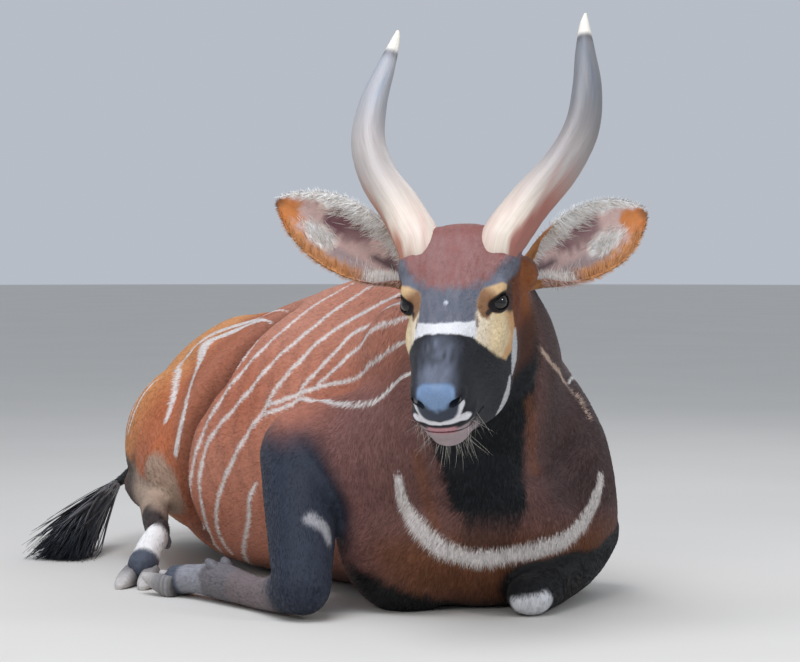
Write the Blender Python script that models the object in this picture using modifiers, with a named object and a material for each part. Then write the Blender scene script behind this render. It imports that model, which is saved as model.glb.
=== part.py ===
"""A bongo lying at rest, life size, as one still model in named parts.

The animal lies on its brisket with its legs folded. It faces -Y, its right side is -X, and +Z is up.
Sizes are in metres. The flesh is modelled whole and then parted with thin cuts, so that each named
part meets its neighbours face to face.
"""

import math
import random

import bmesh
import bpy
from mathutils import Matrix, Vector

# Driving sizes
GAP = 0.0003
BODY_VOXEL = 0.0085
HEAD_VOXEL = 0.0042
BODY_TRIANGLES = 2750
HEAD_TRIANGLES = 2050
HEAD_AT = Vector((-0.192, -0.211, 0.523))
HEAD_YAW = math.radians(42.0)
HEAD_PITCH = math.radians(38.0)
HEAD_ROLL = math.radians(2.5)
EYE_RADIUS = 0.0180
EYE_AT = (0.0665, 0.0040, -0.0045)
LID = 0.0034
HORN_BASE_RADIUS = 0.0365
HORN_KEEL = 0.16
EAR_LENGTH = 0.258
EAR_THICK = 0.0055
EAR_SEAT = 0.016
HOOF_LENGTH = 0.074
HOOF_WIDTH = 0.033
HOOF_HEIGHT = 0.038

# Where the joints are, as the animal lies: each point with its half width across and half depth
FORE_RIGHT = {
    "blade": (Vector((-0.080, 0.130, 0.430)), 0.085, 0.105),
    "shoulder": (Vector((-0.130, 0.010, 0.275)), 0.100, 0.140),
    "arm": (Vector((-0.184, 0.100, 0.270)), 0.086, 0.110),
    "elbow": (Vector((-0.250, 0.195, 0.258)), 0.074, 0.085),
    "forearm": (Vector((-0.290, 0.120, 0.170)), 0.063, 0.066),
    "knee": (Vector((-0.328, 0.045, 0.055)), 0.050, 0.052),
    "cannon": (Vector((-0.343, 0.150, 0.030)), 0.028, 0.030),
    "fetlock": (Vector((-0.358, 0.290, 0.036)), 0.032, 0.035),
    "pastern": (Vector((-0.374, 0.345, 0.034)), 0.028, 0.028),
    "coronet": (Vector((-0.392, 0.390, 0.028)), 0.030, 0.027),
}
FORE_LEFT = {
    "blade": (Vector((0.085, 0.140, 0.420)), 0.080, 0.100),
    "shoulder": (Vector((0.140, 0.020, 0.255)), 0.085, 0.120),
    "arm": (Vector((0.205, 0.073, 0.182)), 0.075, 0.096),
    "elbow": (Vector((0.266, 0.118, 0.104)), 0.064, 0.072),
    "forearm": (Vector((0.168, 0.014, 0.064)), 0.052, 0.052),
    "knee": (Vector((0.018, -0.096, 0.033)), 0.040, 0.036),
    "cannon": (Vector((0.112, -0.002, 0.029)), 0.027, 0.029),
    "fetlock": (Vector((0.215, 0.105, 0.034)), 0.031, 0.034),
    "pastern": (Vector((0.254, 0.155, 0.034)), 0.027, 0.027),
    "coronet": (Vector((0.288, 0.202, 0.028)), 0.030, 0.027),
}
HIND_RIGHT = {
    "hip": (Vector((-0.108, 0.950, 0.262)), 0.112, 0.130),
    "thigh": (Vector((-0.172, 0.870, 0.222)), 0.116, 0.142),
    "stifle": (Vector((-0.240, 0.725, 0.190)), 0.074, 0.095),
    "shank": (Vector((-0.240, 0.800, 0.165)), 0.060, 0.070),
    "hock": (Vector((-0.245, 0.885, 0.145)), 0.038, 0.048),
    "cannon": (Vector((-0.288, 0.750, 0.130)), 0.028, 0.033),
    "fetlock": (Vector((-0.335, 0.612, 0.094)), 0.031, 0.035),
    "pastern": (Vector((-0.366, 0.572, 0.064)), 0.028, 0.029),
    "coronet": (Vector((-0.396, 0.540, 0.036)), 0.030, 0.028),
}
HIND_LEFT = {
    "hip": (Vector((0.108, 0.950, 0.262)), 0.112, 0.130),
    "thigh": (Vector((0.172, 0.870, 0.220)), 0.116, 0.140),
    "stifle": (Vector((0.258, 0.700, 0.165)), 0.072, 0.092),
    "shank": (Vector((0.255, 0.810, 0.125)), 0.060, 0.070),
    "hock": (Vector((0.240, 0.925, 0.075)), 0.038, 0.046),
    "cannon": (Vector((0.270, 0.805, 0.034)), 0.028, 0.031),
    "fetlock": (Vector((0.306, 0.670, 0.036)), 0.031, 0.034),
    "pastern": (Vector((0.330, 0.618, 0.034)), 0.027, 0.027),
    "coronet": (Vector((0.352, 0.575, 0.028)), 0.030, 0.027),
}

# The trunk from chest to rump: y, middle x, top, widest height, bottom, half width, roundness above and below
TRUNK = (
    (-0.075, 0.020, 0.230, 0.150, 0.080, 0.060, 2.0, 2.0),
    (-0.055, 0.022, 0.300, 0.170, 0.040, 0.125, 2.0, 2.1),
    (-0.010, 0.025, 0.390, 0.185, 0.004, 0.180, 2.0, 2.2),
    (0.060, 0.025, 0.480, 0.200, -0.006, 0.212, 1.9, 2.3),
    (0.150, 0.022, 0.545, 0.220, -0.010, 0.228, 1.8, 2.3),
    (0.270, 0.014, 0.573, 0.235, -0.007, 0.238, 1.7, 2.3),
    (0.400, 0.006, 0.556, 0.230, -0.006, 0.262, 1.8, 2.3),
    (0.520, 0.000, 0.530, 0.215, -0.008, 0.286, 1.8, 2.4),
    (0.640, 0.000, 0.504, 0.205, -0.008, 0.292, 1.8, 2.4),
    (0.760, 0.000, 0.484, 0.205, -0.004, 0.258, 1.7, 2.3),
    (0.880, 0.000, 0.474, 0.205, 0.010, 0.228, 1.6, 2.2),
    (0.980, 0.000, 0.464, 0.200, 0.020, 0.218, 1.6, 2.1),
    (1.060, 0.000, 0.430, 0.200, 0.040, 0.188, 1.7, 2.0),
    (1.115, 0.000, 0.368, 0.200, 0.080, 0.135, 1.8, 2.0),
    (1.142, 0.000, 0.300, 0.205, 0.130, 0.060, 2.0, 2.0),
)

# The full front of the chest in lobes: each middle with its radii
CHEST = (
    (Vector((0.015, 0.065, 0.215)), (0.170, 0.140, 0.210)),
    (Vector((-0.115, 0.075, 0.140)), (0.125, 0.130, 0.155)),
    (Vector((0.130, 0.070, 0.150)), (0.125, 0.130, 0.165)),
    (Vector((-0.085, 0.060, 0.330)), (0.110, 0.120, 0.130)),
    (Vector((-0.052, -0.005, 0.250)), (0.105, 0.105, 0.150)),
    (Vector((0.020, 0.006, 0.180)), (0.165, 0.108, 0.115)),
    (Vector((0.080, 0.025, 0.300)), (0.115, 0.108, 0.125)),
)

# The points of the hips: each middle with its radii
HIP_BONES = (
    (Vector((-0.112, 0.845, 0.378)), (0.050, 0.075, 0.052)),
    (Vector((0.112, 0.845, 0.378)), (0.050, 0.075, 0.052)),
)

# The neck from inside the chest to the back of the skull: middle, half width, height above, height below
NECK = (
    (Vector((0.015, 0.280, 0.360)), 0.120, 0.190, 0.190),
    (Vector((0.014, 0.150, 0.355)), 0.145, 0.190, 0.205),
    (Vector((0.008, 0.050, 0.375)), 0.144, 0.165, 0.200),
    (Vector((-0.022, -0.030, 0.430)), 0.122, 0.128, 0.175),
    (Vector((-0.066, -0.088, 0.492)), 0.098, 0.098, 0.135),
    (Vector((-0.110, -0.130, 0.540)), 0.080, 0.078, 0.105),
)

# The head along its nose axis: nose, top, widest, bottom, half width, roundness above and below
HEAD = (
    (-0.168, 0.000, -0.050, -0.110, 0.040, 2.0, 2.0),
    (-0.148, 0.034, -0.042, -0.140, 0.068, 2.3, 2.0),
    (-0.110, 0.060, -0.030, -0.162, 0.085, 2.6, 2.0),
    (-0.070, 0.058, -0.025, -0.178, 0.088, 2.7, 2.0),
    (-0.030, 0.050, -0.035, -0.192, 0.083, 2.5, 3.0),
    (0.010, 0.041, -0.050, -0.196, 0.077, 2.2, 4.4),
    (0.045, 0.033, -0.060, -0.192, 0.073, 2.1, 5.0),
    (0.078, 0.027, -0.062, -0.182, 0.067, 2.1, 5.0),
    (0.110, 0.021, -0.060, -0.169, 0.059, 2.2, 4.0),
    (0.140, 0.014, -0.058, -0.156, 0.053, 2.3, 2.6),
    (0.168, 0.005, -0.056, -0.147, 0.049, 2.3, 2.1),
    (0.188, -0.005, -0.056, -0.134, 0.043, 2.3, 2.1),
    (0.202, -0.016, -0.058, -0.112, 0.031, 2.2, 2.0),
    (0.208, -0.032, -0.062, -0.090, 0.014, 2.0, 2.0),
)

# One horn in head axes, the left one: how far left, how far back along the horn's own line, how thick
HORN_START = (-0.094, 0.032)
HORN_RISE = math.radians(20.0)
HORN = (
    (0.052, -0.030, 1.00),
    (0.066, 0.005, 1.00),
    (0.103, 0.070, 0.95),
    (0.148, 0.135, 0.87),
    (0.175, 0.205, 0.78),
    (0.177, 0.280, 0.64),
    (0.166, 0.350, 0.43),
    (0.157, 0.405, 0.21),
    (0.155, 0.428, 0.06),
)
HORN_LEAN = {"right": (-0.006, 1.00), "left": (0.012, 1.03)}


# A hoof from heel to tip: how far along, how wide, how tall
HOOF = ((0.0, 0.78, 0.88), (0.15, 1.0, 1.0), (0.50, 1.0, 0.80), (0.78, 0.84, 0.52), (0.94, 0.52, 0.30), (1.0, 0.25, 0.20))

# An ear from root to tip: how far along, half width, how far round its rim reaches, how far it leans
EAR = (
    (-0.06, 0.020, 150.0, 0.000),
    (0.10, 0.027, 135.0, 0.000),
    (0.25, 0.044, 96.0, 0.002),
    (0.45, 0.057, 76.0, 0.004),
    (0.65, 0.055, 64.0, 0.005),
    (0.82, 0.040, 56.0, 0.003),
    (0.95, 0.019, 50.0, 0.000),
    (1.00, 0.005, 50.0, -0.002),
)
EARS = {
    "right": ((-0.090, -0.124, -0.055), (-0.735, 0.465, 0.49)),
    "left": ((0.090, -0.124, -0.055), (0.912, 0.055, 0.405)),
}
EAR_OPENING = Vector((-0.42, -0.88, 0.10))

# The line of the mouth in head axes
MOUTH = (
    (0.056, 0.108, -0.106),
    (0.053, 0.136, -0.105),
    (0.045, 0.166, -0.100),
    (0.027, 0.192, -0.094),
    (0.000, 0.203, -0.091),
    (-0.027, 0.192, -0.094),
    (-0.045, 0.166, -0.100),
    (-0.053, 0.136, -0.105),
    (-0.056, 0.108, -0.106),
)

# The tail: each point with its half width and half depth
TAIL = (
    (Vector((-0.005, 1.085, 0.350)), 0.024, 0.022),
    (Vector((-0.020, 1.150, 0.300)), 0.021, 0.020),
    (Vector((-0.075, 1.180, 0.215)), 0.017, 0.017),
    (Vector((-0.150, 1.155, 0.150)), 0.014, 0.014),
    (Vector((-0.215, 1.095, 0.125)), 0.012, 0.012),
)
TUFT_FROM = Vector((-0.222, 1.088, 0.122))
TUFT_TO = Vector((-0.415, 0.925, 0.018))
TUFT_LOCKS = 12
NECK_CUT_AT = Vector((0.0, 0.020, 0.425))
NECK_CUT_FACING = Vector((-0.22, -0.66, 0.72))


# Colours by what a node's name holds, first match first, each with its roughness
COAT = ((0.36, 0.11, 0.035), 0.80)
TONES = (
    ("eye_", ((0.012, 0.009, 0.008), 0.08)),
    ("horn_", ((0.42, 0.36, 0.32), 0.45)),
    ("hoof_", ((0.07, 0.06, 0.055), 0.50)),
    ("tuft", ((0.02, 0.017, 0.016), 0.85)),
    ("ear_", ((0.32, 0.20, 0.14), 0.80)),
    ("head", ((0.10, 0.055, 0.045), 0.75)),
    ("pastern", ((0.42, 0.39, 0.35), 0.80)),
    ("cannon", ((0.09, 0.07, 0.06), 0.80)),
    ("forearm", ((0.03, 0.027, 0.028), 0.80)),
)


def head_axes():
    """The head's own axes in the model's frame: to its left, to its nose and to the top of its brow."""
    level = Vector((-math.sin(HEAD_YAW), -math.cos(HEAD_YAW), 0.0))
    up = Vector((0.0, 0.0, 1.0))
    nose = level * math.cos(HEAD_PITCH) - up * math.sin(HEAD_PITCH)
    brow = level * math.sin(HEAD_PITCH) + up * math.cos(HEAD_PITCH)
    left = brow.cross(nose)
    roll = Matrix.Rotation(HEAD_ROLL, 3, nose)
    return roll @ left, nose, roll @ brow


HEAD_LEFT, HEAD_NOSE, HEAD_BROW = head_axes()


def in_head(left, nose, brow):
    """A point given along the head's axes from the middle between the eyes."""
    return HEAD_AT + HEAD_LEFT * left + HEAD_NOSE * nose + HEAD_BROW * brow


def head_turn():
    """The rotation that lays X, Y and Z along the head's left, nose and brow."""
    return Matrix((HEAD_LEFT, HEAD_NOSE, HEAD_BROW)).transposed()


def clear_scene():
    for thing in list(bpy.data.objects):
        bpy.data.objects.remove(thing)


def new_object(name, mesh):
    thing = bpy.data.objects.new(name, mesh)
    bpy.context.scene.collection.objects.link(thing)
    return thing


def from_bmesh(name, built):
    bmesh.ops.recalc_face_normals(built, faces=built.faces)
    mesh = bpy.data.meshes.new(name)
    built.to_mesh(mesh)
    built.free()
    return new_object(name, mesh)


def ring_tube(name, rings):
    """A closed tube through rings of as many points each, with a fan over each end."""
    built = bmesh.new()
    rows = [[built.verts.new(point) for point in ring] for ring in rings]
    count = len(rings[0])
    for first, second in zip(rows, rows[1:]):
        for i in range(count):
            j = (i + 1) % count
            built.faces.new((first[i], first[j], second[j], second[i]))
    for row in (rows[0], rows[-1]):
        middle = built.verts.new(sum((v.co for v in row), Vector()) / count)
        for i in range(count):
            built.faces.new((row[i], row[(i + 1) % count], middle))
    return from_bmesh(name, built)


def smooth_rows(rows, steps):
    """The rows of numbers with more rows between them, on a curve that passes through each row."""
    found = []
    for i in range(len(rows) - 1):
        before, start = rows[max(0, i - 1)], rows[i]
        end, after = rows[i + 1], rows[min(len(rows) - 1, i + 2)]
        for step in range(steps):
            t = step / steps
            found.append(
                [
                    0.5 * (2 * b + (c - a) * t + (2 * a - 5 * b + 4 * c - d) * t * t + (3 * b - a - 3 * c + d) * t**3)
                    for a, b, c, d in zip(before, start, end, after)
                ]
            )
    found.append(list(rows[-1]))
    return found


def round_share(value, roundness):
    """A sine or cosine pulled towards a boxier or a sharper curve."""
    return math.copysign(abs(value) ** (2.0 / roundness), value)


def section(middle, side, up, half_width, above, below, round_up=2.0, round_down=2.0, count=24):
    """One ring with its own height above and below its widest line."""
    ring = []
    for i in range(count):
        angle = 2.0 * math.pi * i / count
        across, height = math.cos(angle), math.sin(angle)
        roundness = round_up if height >= 0 else round_down
        reach = above if height >= 0 else below
        ring.append(
            middle
            + side * half_width * round_share(across, roundness)
            + up * reach * round_share(height, roundness)
        )
    return ring


def path_tube(name, stations, across, grow=0.0, steps=4, round_ends=True, count=18):
    """A tube along a path of (point, half width, half depth), wide in the given direction."""
    rows = smooth_rows([[*point, wide, deep] for point, wide, deep in stations], steps)
    points = [Vector(row[:3]) for row in rows]
    rings = []

    def ring_at(i, shift, share):
        along = points[min(len(points) - 1, i + 1)] - points[max(0, i - 1)]
        along.normalize()
        side = (across - along * across.dot(along)).normalized()
        up = side.cross(along)
        wide, deep = (rows[i][3] + grow) * share, (rows[i][4] + grow) * share
        return section(points[i] + along * shift, side, up, wide, deep, deep, count=count)

    caps = (25, 50, 75) if round_ends else ()
    for angle in reversed(caps):
        rings.append(ring_at(0, -rows[0][3] * math.sin(math.radians(angle)), math.cos(math.radians(angle))))
    rings += [ring_at(i, 0.0, 1.0) for i in range(len(points))]
    for angle in caps:
        rings.append(ring_at(len(points) - 1, rows[-1][3] * math.sin(math.radians(angle)), math.cos(math.radians(angle))))
    return ring_tube(name, rings)


def ball(name, middle, radii, turn=None, segments=20):
    """An ellipsoid."""
    built = bmesh.new()
    bmesh.ops.create_uvsphere(built, u_segments=segments, v_segments=segments * 2 // 3, radius=1.0)
    matrix = (turn or Matrix.Identity(3)).to_4x4() @ Matrix.Diagonal((*radii, 1.0))
    bmesh.ops.transform(built, matrix=Matrix.Translation(middle) @ matrix, verts=built.verts)
    return from_bmesh(name, built)


def head_ball(name, left, nose, brow, radii, turn=None, segments=20):
    return ball(name, in_head(left, nose, brow), radii, head_turn() @ (turn or Matrix.Identity(3)), segments)


def slab(name, middle, normal, half=1.0, thick=1.0):
    """A large block whose near face passes through the middle and which lies on the normal's side."""
    built = bmesh.new()
    bmesh.ops.create_cube(built, size=1.0)
    turn = normal.to_track_quat("Z", "Y").to_matrix().to_4x4()
    shape = Matrix.Translation(middle + normal.normalized() * thick / 2) @ turn
    shape = shape @ Matrix.Diagonal((2 * half, 2 * half, thick, 1.0))
    bmesh.ops.transform(built, matrix=shape, verts=built.verts)
    return from_bmesh(name, built)


def applied(thing):
    """The object with its modifiers worked into its mesh."""
    graph = bpy.context.evaluated_depsgraph_get()
    mesh = bpy.data.meshes.new_from_object(thing.evaluated_get(graph))
    thing.modifiers.clear()
    old = thing.data
    thing.data = mesh
    bpy.data.meshes.remove(old)
    return thing


def hulled(thing):
    """The object's convex hull in its place."""
    built = bmesh.new()
    built.from_mesh(thing.data)
    bmesh.ops.delete(built, geom=list(built.faces), context="FACES_ONLY")
    found = bmesh.ops.convex_hull(built, input=built.verts)
    spare = [item for item in found["geom_interior"] if isinstance(item, bmesh.types.BMVert)]
    bmesh.ops.delete(built, geom=spare, context="VERTS")
    bmesh.ops.recalc_face_normals(built, faces=built.faces)
    built.to_mesh(thing.data)
    built.free()
    return thing


def largest_only(thing):
    """Keeps the object's largest closed surface."""
    built = bmesh.new()
    built.from_mesh(thing.data)
    left = set(built.verts)
    groups = []
    while left:
        group, edge = set(), [left.pop()]
        while edge:
            vert = edge.pop()
            group.add(vert)
            for line in vert.link_edges:
                other = line.other_vert(vert)
                if other in left:
                    left.discard(other)
                    edge.append(other)
        groups.append(group)
    groups.sort(key=len)
    for group in groups[:-1]:
        bmesh.ops.delete(built, geom=list(group), context="VERTS")
    built.to_mesh(thing.data)
    built.free()
    return thing


def boolean(thing, other, operation, solver="MANIFOLD"):
    step = thing.modifiers.new("Cut", "BOOLEAN")
    step.operation = operation
    step.solver = solver
    step.object = other
    return applied(thing)


def fuse(name, pieces, voxel, smooth):
    """The pieces as one skin: joined, remeshed and smoothed."""
    built = bmesh.new()
    for piece in pieces:
        built.from_mesh(piece.data)
        bpy.data.objects.remove(piece)
    thing = from_bmesh(name, built)
    remesh = thing.modifiers.new("Skin", "REMESH")
    remesh.mode = "VOXEL"
    remesh.voxel_size = voxel
    relax = thing.modifiers.new("Relax", "SMOOTH")
    relax.factor = 0.5
    relax.iterations = smooth
    return applied(thing)


def thinned(thing, triangles):
    """The mesh with about that many triangles."""
    now = sum(len(face.vertices) - 2 for face in thing.data.polygons)
    thin = thing.modifiers.new("Thin", "DECIMATE")
    thin.ratio = min(1.0, triangles / now)
    return applied(thing)


def trunk():
    rings = []
    side, up = Vector((1.0, 0.0, 0.0)), Vector((0.0, 0.0, 1.0))
    for y, middle, top, wide, bottom, half, above, below in smooth_rows(TRUNK, 3):
        rings.append(section(Vector((middle, y, wide)), side, up, half, top - wide, wide - bottom, above, below, 32))
    return ring_tube("trunk", rings)


def neck():
    rings = []
    rows = smooth_rows([[*middle, half, above, below] for middle, half, above, below in NECK], 3)
    points = [Vector(row[:3]) for row in rows]
    for i, row in enumerate(rows):
        along = (points[min(len(points) - 1, i + 1)] - points[max(0, i - 1)]).normalized()
        side = Vector((0.0, 0.0, 1.0)).cross(along).normalized()
        rings.append(section(points[i], side, along.cross(side), row[3], row[4], row[5], count=28))
    return ring_tube("neck_flesh", rings)


def skull():
    rings = []
    for nose, top, wide, bottom, half, above, below in smooth_rows(HEAD, 3):
        middle = in_head(0.0, nose, wide)
        rings.append(section(middle, HEAD_LEFT, HEAD_BROW, half, top - wide, wide - bottom, above, below, 36))
    return ring_tube("skull", rings)


def both_sides(name, left, nose, brow, radii):
    return [head_ball(f"{name}_{side:+d}", left * side, nose, brow, radii) for side in (-1, 1)]


def head_flesh():
    """The head as one skin: its masses smoothed together, then the finer forms laid on them."""
    masses = [skull()]
    masses += both_sides("temple", 0.068, -0.066, 0.012, (0.031, 0.050, 0.036))
    masses += both_sides("brow", 0.070, -0.012, 0.014, (0.017, 0.036, 0.014))
    masses += both_sides("cheek", 0.050, -0.020, -0.110, (0.032, 0.075, 0.066))
    masses += both_sides("cheekbone", 0.060, 0.020, -0.045, (0.021, 0.060, 0.026))
    masses += both_sides("horn_seat", 0.060, -0.094, 0.030, (0.042, 0.042, 0.034))
    masses += both_sides("ear_seat", 0.080, -0.122, -0.052, (0.030, 0.032, 0.034))
    pieces = [fuse("head_masses", masses, HEAD_VOXEL, 16)]
    pieces += both_sides("eyelid", *EYE_AT, (EYE_RADIUS + LID,) * 3)
    pieces += both_sides("nostril_wing", 0.027, 0.177, -0.034, (0.018, 0.026, 0.019))
    pieces += both_sides("lip", 0.028, 0.164, -0.076, (0.024, 0.038, 0.017))
    pieces.append(head_ball("nose_pad", 0.0, 0.186, -0.042, (0.026, 0.022, 0.032)))
    pieces.append(head_ball("chin", 0.0, 0.160, -0.122, (0.034, 0.038, 0.022)))
    return fuse("head_flesh", pieces, HEAD_VOXEL, 3)


LIMB_ACROSS = Vector((1.0, 0.0, 0.0))
CELL_CHAINS = {"upper": ("arm", "elbow"), "thigh": ("thigh", "stifle")}
CELL_MARGIN = {
    "upper": 0.030,
    "thigh": 0.030,
    "forearm": 0.012,
    "shank": 0.012,
    "cannon": 0.010,
    "pastern": 0.010,
}
FORE_CHAINS = {
    "upper": ("blade", "shoulder", "elbow"),
    "forearm": ("elbow", "forearm", "knee"),
    "cannon": ("knee", "cannon", "fetlock"),
    "pastern": ("fetlock", "pastern", "coronet"),
}
HIND_CHAINS = {
    "thigh": ("hip", "thigh", "stifle"),
    "shank": ("stifle", "shank", "hock"),
    "cannon": ("hock", "cannon", "fetlock"),
    "pastern": ("fetlock", "pastern", "coronet"),
}
LEGS = {
    "fore_right": (FORE_RIGHT, FORE_CHAINS),
    "fore_left": (FORE_LEFT, FORE_CHAINS),
    "hind_right": (HIND_RIGHT, HIND_CHAINS),
    "hind_left": (HIND_LEFT, HIND_CHAINS),
}


def limb(name, joints, chain, grow=0.0, steps=4, round_ends=True, count=18):
    return path_tube(name, [joints[key] for key in chain], LIMB_ACROSS, grow, steps, round_ends, count)


def body_flesh():
    """The whole body but the head, as one skin."""
    soft = [trunk(), neck()]
    for place, (middle, radii) in enumerate(CHEST + HIP_BONES):
        soft.append(ball(f"lobe_{place}", middle, radii))
    for name, (joints, chains) in LEGS.items():
        part = list(chains)[0]
        soft.append(limb(f"{name}_{part}_flesh", joints, chains[part]))
    pieces = [fuse("masses", soft, BODY_VOXEL, 36)]
    for name, (joints, chains) in LEGS.items():
        for part in list(chains)[1:]:
            pieces.append(limb(f"{name}_{part}_flesh", joints, chains[part]))
    return fuse("body", pieces, BODY_VOXEL, 4)


def horn(name, side):
    """A horn on a winding path, with a keel that turns half way round it."""
    back = -HEAD_NOSE * math.cos(HORN_RISE) + HEAD_BROW * math.sin(HORN_RISE)
    start = in_head(0.0, *HORN_START)
    lean, longer = HORN_LEAN["left" if side > 0 else "right"]
    rows = [[out + lean * (far / 0.4) ** 2, far * longer, thick] for out, far, thick in HORN]
    rows = smooth_rows(rows, 2)
    points = [start + HEAD_LEFT * side * row[0] + back * row[1] for row in rows]
    rings = []
    for i, row in enumerate(rows):
        along = (points[min(len(points) - 1, i + 1)] - points[max(0, i - 1)]).normalized()
        across = (HEAD_LEFT * side - along * HEAD_LEFT.dot(along) * side).normalized()
        up = across.cross(along) * side
        radius = HORN_BASE_RADIUS * row[2]
        turn = math.radians(200.0) * i / len(rows)
        ring = []
        for k in range(10):
            angle = 2.0 * math.pi * k / 10
            keel = 1.0 + HORN_KEEL * max(0.0, math.cos(angle - turn)) ** 4
            ring.append(points[i] + (across * math.cos(angle) + up * math.sin(angle)) * radius * keel)
        rings.append(ring)
    return ring_tube(name, rings), points[2], (points[3] - points[1]).normalized()


def ear(name, side, root, aim, opening):
    """A cupped ear: a bent leaf whose rim closes to a tube at its root."""
    aim = aim.normalized()
    face = (opening - aim * opening.dot(aim)).normalized()
    across = aim.cross(face)
    rings = []
    for share, half, spread, lean in smooth_rows(EAR, 2):
        spread = math.radians(spread)
        middle = root + aim * share * EAR_LENGTH + face * lean
        radius = half / math.sin(min(spread, math.pi / 2))
        thick = EAR_THICK * (1.0 - 0.45 * share) / 2
        ring = []
        for edge, order in ((thick, 1), (-thick, -1)):
            for k in range(7):
                angle = spread * (k / 3.0 - 1.0) * order
                reach = radius + edge * (1.0 - 0.5 * abs(k / 3.0 - 1.0) ** 4)
                ring.append(
                    middle
                    + across * reach * math.sin(angle)
                    + face * (radius * math.cos(spread) - reach * math.cos(angle))
                )
        rings.append(ring)
    return ring_tube(name, rings)


def hoof(name, start, aim, aside, sole_down):
    """One half of a cloven hoof: a tapering wedge with a flat sole."""
    level = Vector((aim.x, aim.y, 0.0)).normalized()
    side = Vector((-level.y, level.x, 0.0))
    aim = (level + side * aside * 0.06).normalized()
    side = Vector((-aim.y, aim.x, 0.0))
    middle = start + side * aside * (HOOF_WIDTH / 2 + 0.0012)
    rings = []
    for share, wide, tall in HOOF:
        ring = []
        for k in range(8):
            angle = 2.0 * math.pi * (k + 0.5) / 8
            across = math.cos(angle) * wide * HOOF_WIDTH / 2
            rise = (0.5 + 0.5 * math.sin(angle) / math.sin(math.radians(67.5))) * tall * HOOF_HEIGHT
            if not sole_down:
                rise = HOOF_HEIGHT * 0.98 - rise
            spot = middle + aim * share * HOOF_LENGTH + side * across
            ring.append(Vector((spot.x, spot.y, middle.z + rise)))
        rings.append(ring)
    return ring_tube(name, rings)


def tail_core(grow=0.0):
    return path_tube("tail", TAIL, Vector((1.0, 0.0, 0.0)), grow, 2, count=10)


def lock(name, start, aim, lift, length, width, thick, droop):
    """A flat, tapering lock of hair that bends down along its length."""
    across = aim.cross(lift).normalized()
    rings = []
    for share, wide in ((0.0, 0.55), (0.3, 1.0), (0.7, 0.70), (1.0, 0.10)):
        middle = start + aim * length * share - Vector((0.0, 0.0, 1.0)) * droop * share * share
        middle.z = max(middle.z, 0.004)
        half, deep = width / 2 * wide, thick / 2 * (1.0 - 0.6 * share)
        rings.append(
            [middle + across * half, middle + lift * deep, middle - across * half, middle - lift * deep]
        )
    return ring_tube(name, rings)


def tuft():
    """The tail's tuft: a core to half its length and overlapping locks fused to it."""
    rng = random.Random(7)
    start, end = TUFT_FROM, TUFT_TO
    aim = (end - start).normalized()
    side = aim.cross(Vector((0.0, 0.0, 1.0))).normalized()
    up = side.cross(aim)
    length = (end - start).length
    core = path_tube(
        "tail_tuft",
        (
            (start - aim * 0.02, 0.013, 0.013),
            (start + aim * length * 0.16, 0.028, 0.024),
            (start + aim * length * 0.36, 0.032, 0.022),
            (start + aim * length * 0.52, 0.018, 0.012),
        ),
        side,
        count=8,
        steps=1,
    )
    locks = []
    for i in range(TUFT_LOCKS):
        angle = 2.0 * math.pi * i / TUFT_LOCKS * 2.0
        out = side * math.cos(angle) + up * math.sin(angle)
        share = 0.05 + 0.30 * i / TUFT_LOCKS
        root = start + aim * length * share + out * 0.008
        way = (aim + out * (0.14 + 0.12 * rng.random())).normalized()
        reach = length * (1.0 - share) * (0.82 + 0.22 * rng.random())
        locks.append(lock(f"lock_{i}", root, way, out, reach, 0.046, 0.014, 0.02))
    return union(core, locks)


def union(thing, others):
    """One union with a collection of closed pieces, which are removed afterwards."""
    group = bpy.data.collections.new("Joined")
    for other in others:
        group.objects.link(other)
    step = thing.modifiers.new("Join", "BOOLEAN")
    step.operation = "UNION"
    step.operand_type = "COLLECTION"
    step.collection = group
    step.solver = "EXACT"
    applied(thing)
    for other in others:
        bpy.data.objects.remove(other)
    bpy.data.collections.remove(group)
    return largest_only(thing)


def grown(thing, amount=GAP):
    """A copy a little larger all round, to cut a neighbour clear."""
    copy = thing.copy()
    copy.data = thing.data.copy()
    bpy.context.scene.collection.objects.link(copy)
    swell = copy.modifiers.new("Swell", "DISPLACE")
    swell.strength = amount
    swell.mid_level = 0.0
    return applied(copy)


def cut_clear(thing, others, amount=GAP):
    """Cuts each of the others, a little larger, from the thing."""
    for other in others:
        cutter = grown(other, amount)
        boolean(thing, cutter, "DIFFERENCE")
        bpy.data.objects.remove(cutter)
    return largest_only(thing)


def split_off(name, whole, cell):
    """What lies inside the cell becomes a part of its own, and a thin gap is left round it."""
    part = whole.copy()
    part.data = whole.data.copy()
    part.name = name
    bpy.context.scene.collection.objects.link(part)
    boolean(part, cell, "INTERSECT")
    cutter = grown(cell)
    boolean(whole, cutter, "DIFFERENCE")
    bpy.data.objects.remove(cutter)
    bpy.data.objects.remove(cell)
    return largest_only(part)


def seated(thing, base, spot, facing, radius):
    """Cuts a flat seat into the base and ends the thing flat on it."""
    disc = path_tube(
        "disc",
        ((spot, radius, radius), (spot + facing * 0.05, radius, radius)),
        facing.orthogonal(),
        round_ends=False,
        count=12,
        steps=1,
    )
    boolean(base, disc, "DIFFERENCE")
    bpy.data.objects.remove(disc)
    below = slab("below", spot + facing * GAP, -facing, 0.2, 0.2)
    boolean(thing, below, "DIFFERENCE")
    bpy.data.objects.remove(below)
    return largest_only(thing)


def gaze(side):
    """The way an eye looks, in head axes, and the axis along its lids."""
    look = Vector((0.77 * side, 0.50, 0.40)).normalized()
    along = Vector((-0.45 * side, 0.86, -0.22))
    along = (along - look * along.dot(look)).normalized()
    return look, along


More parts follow.
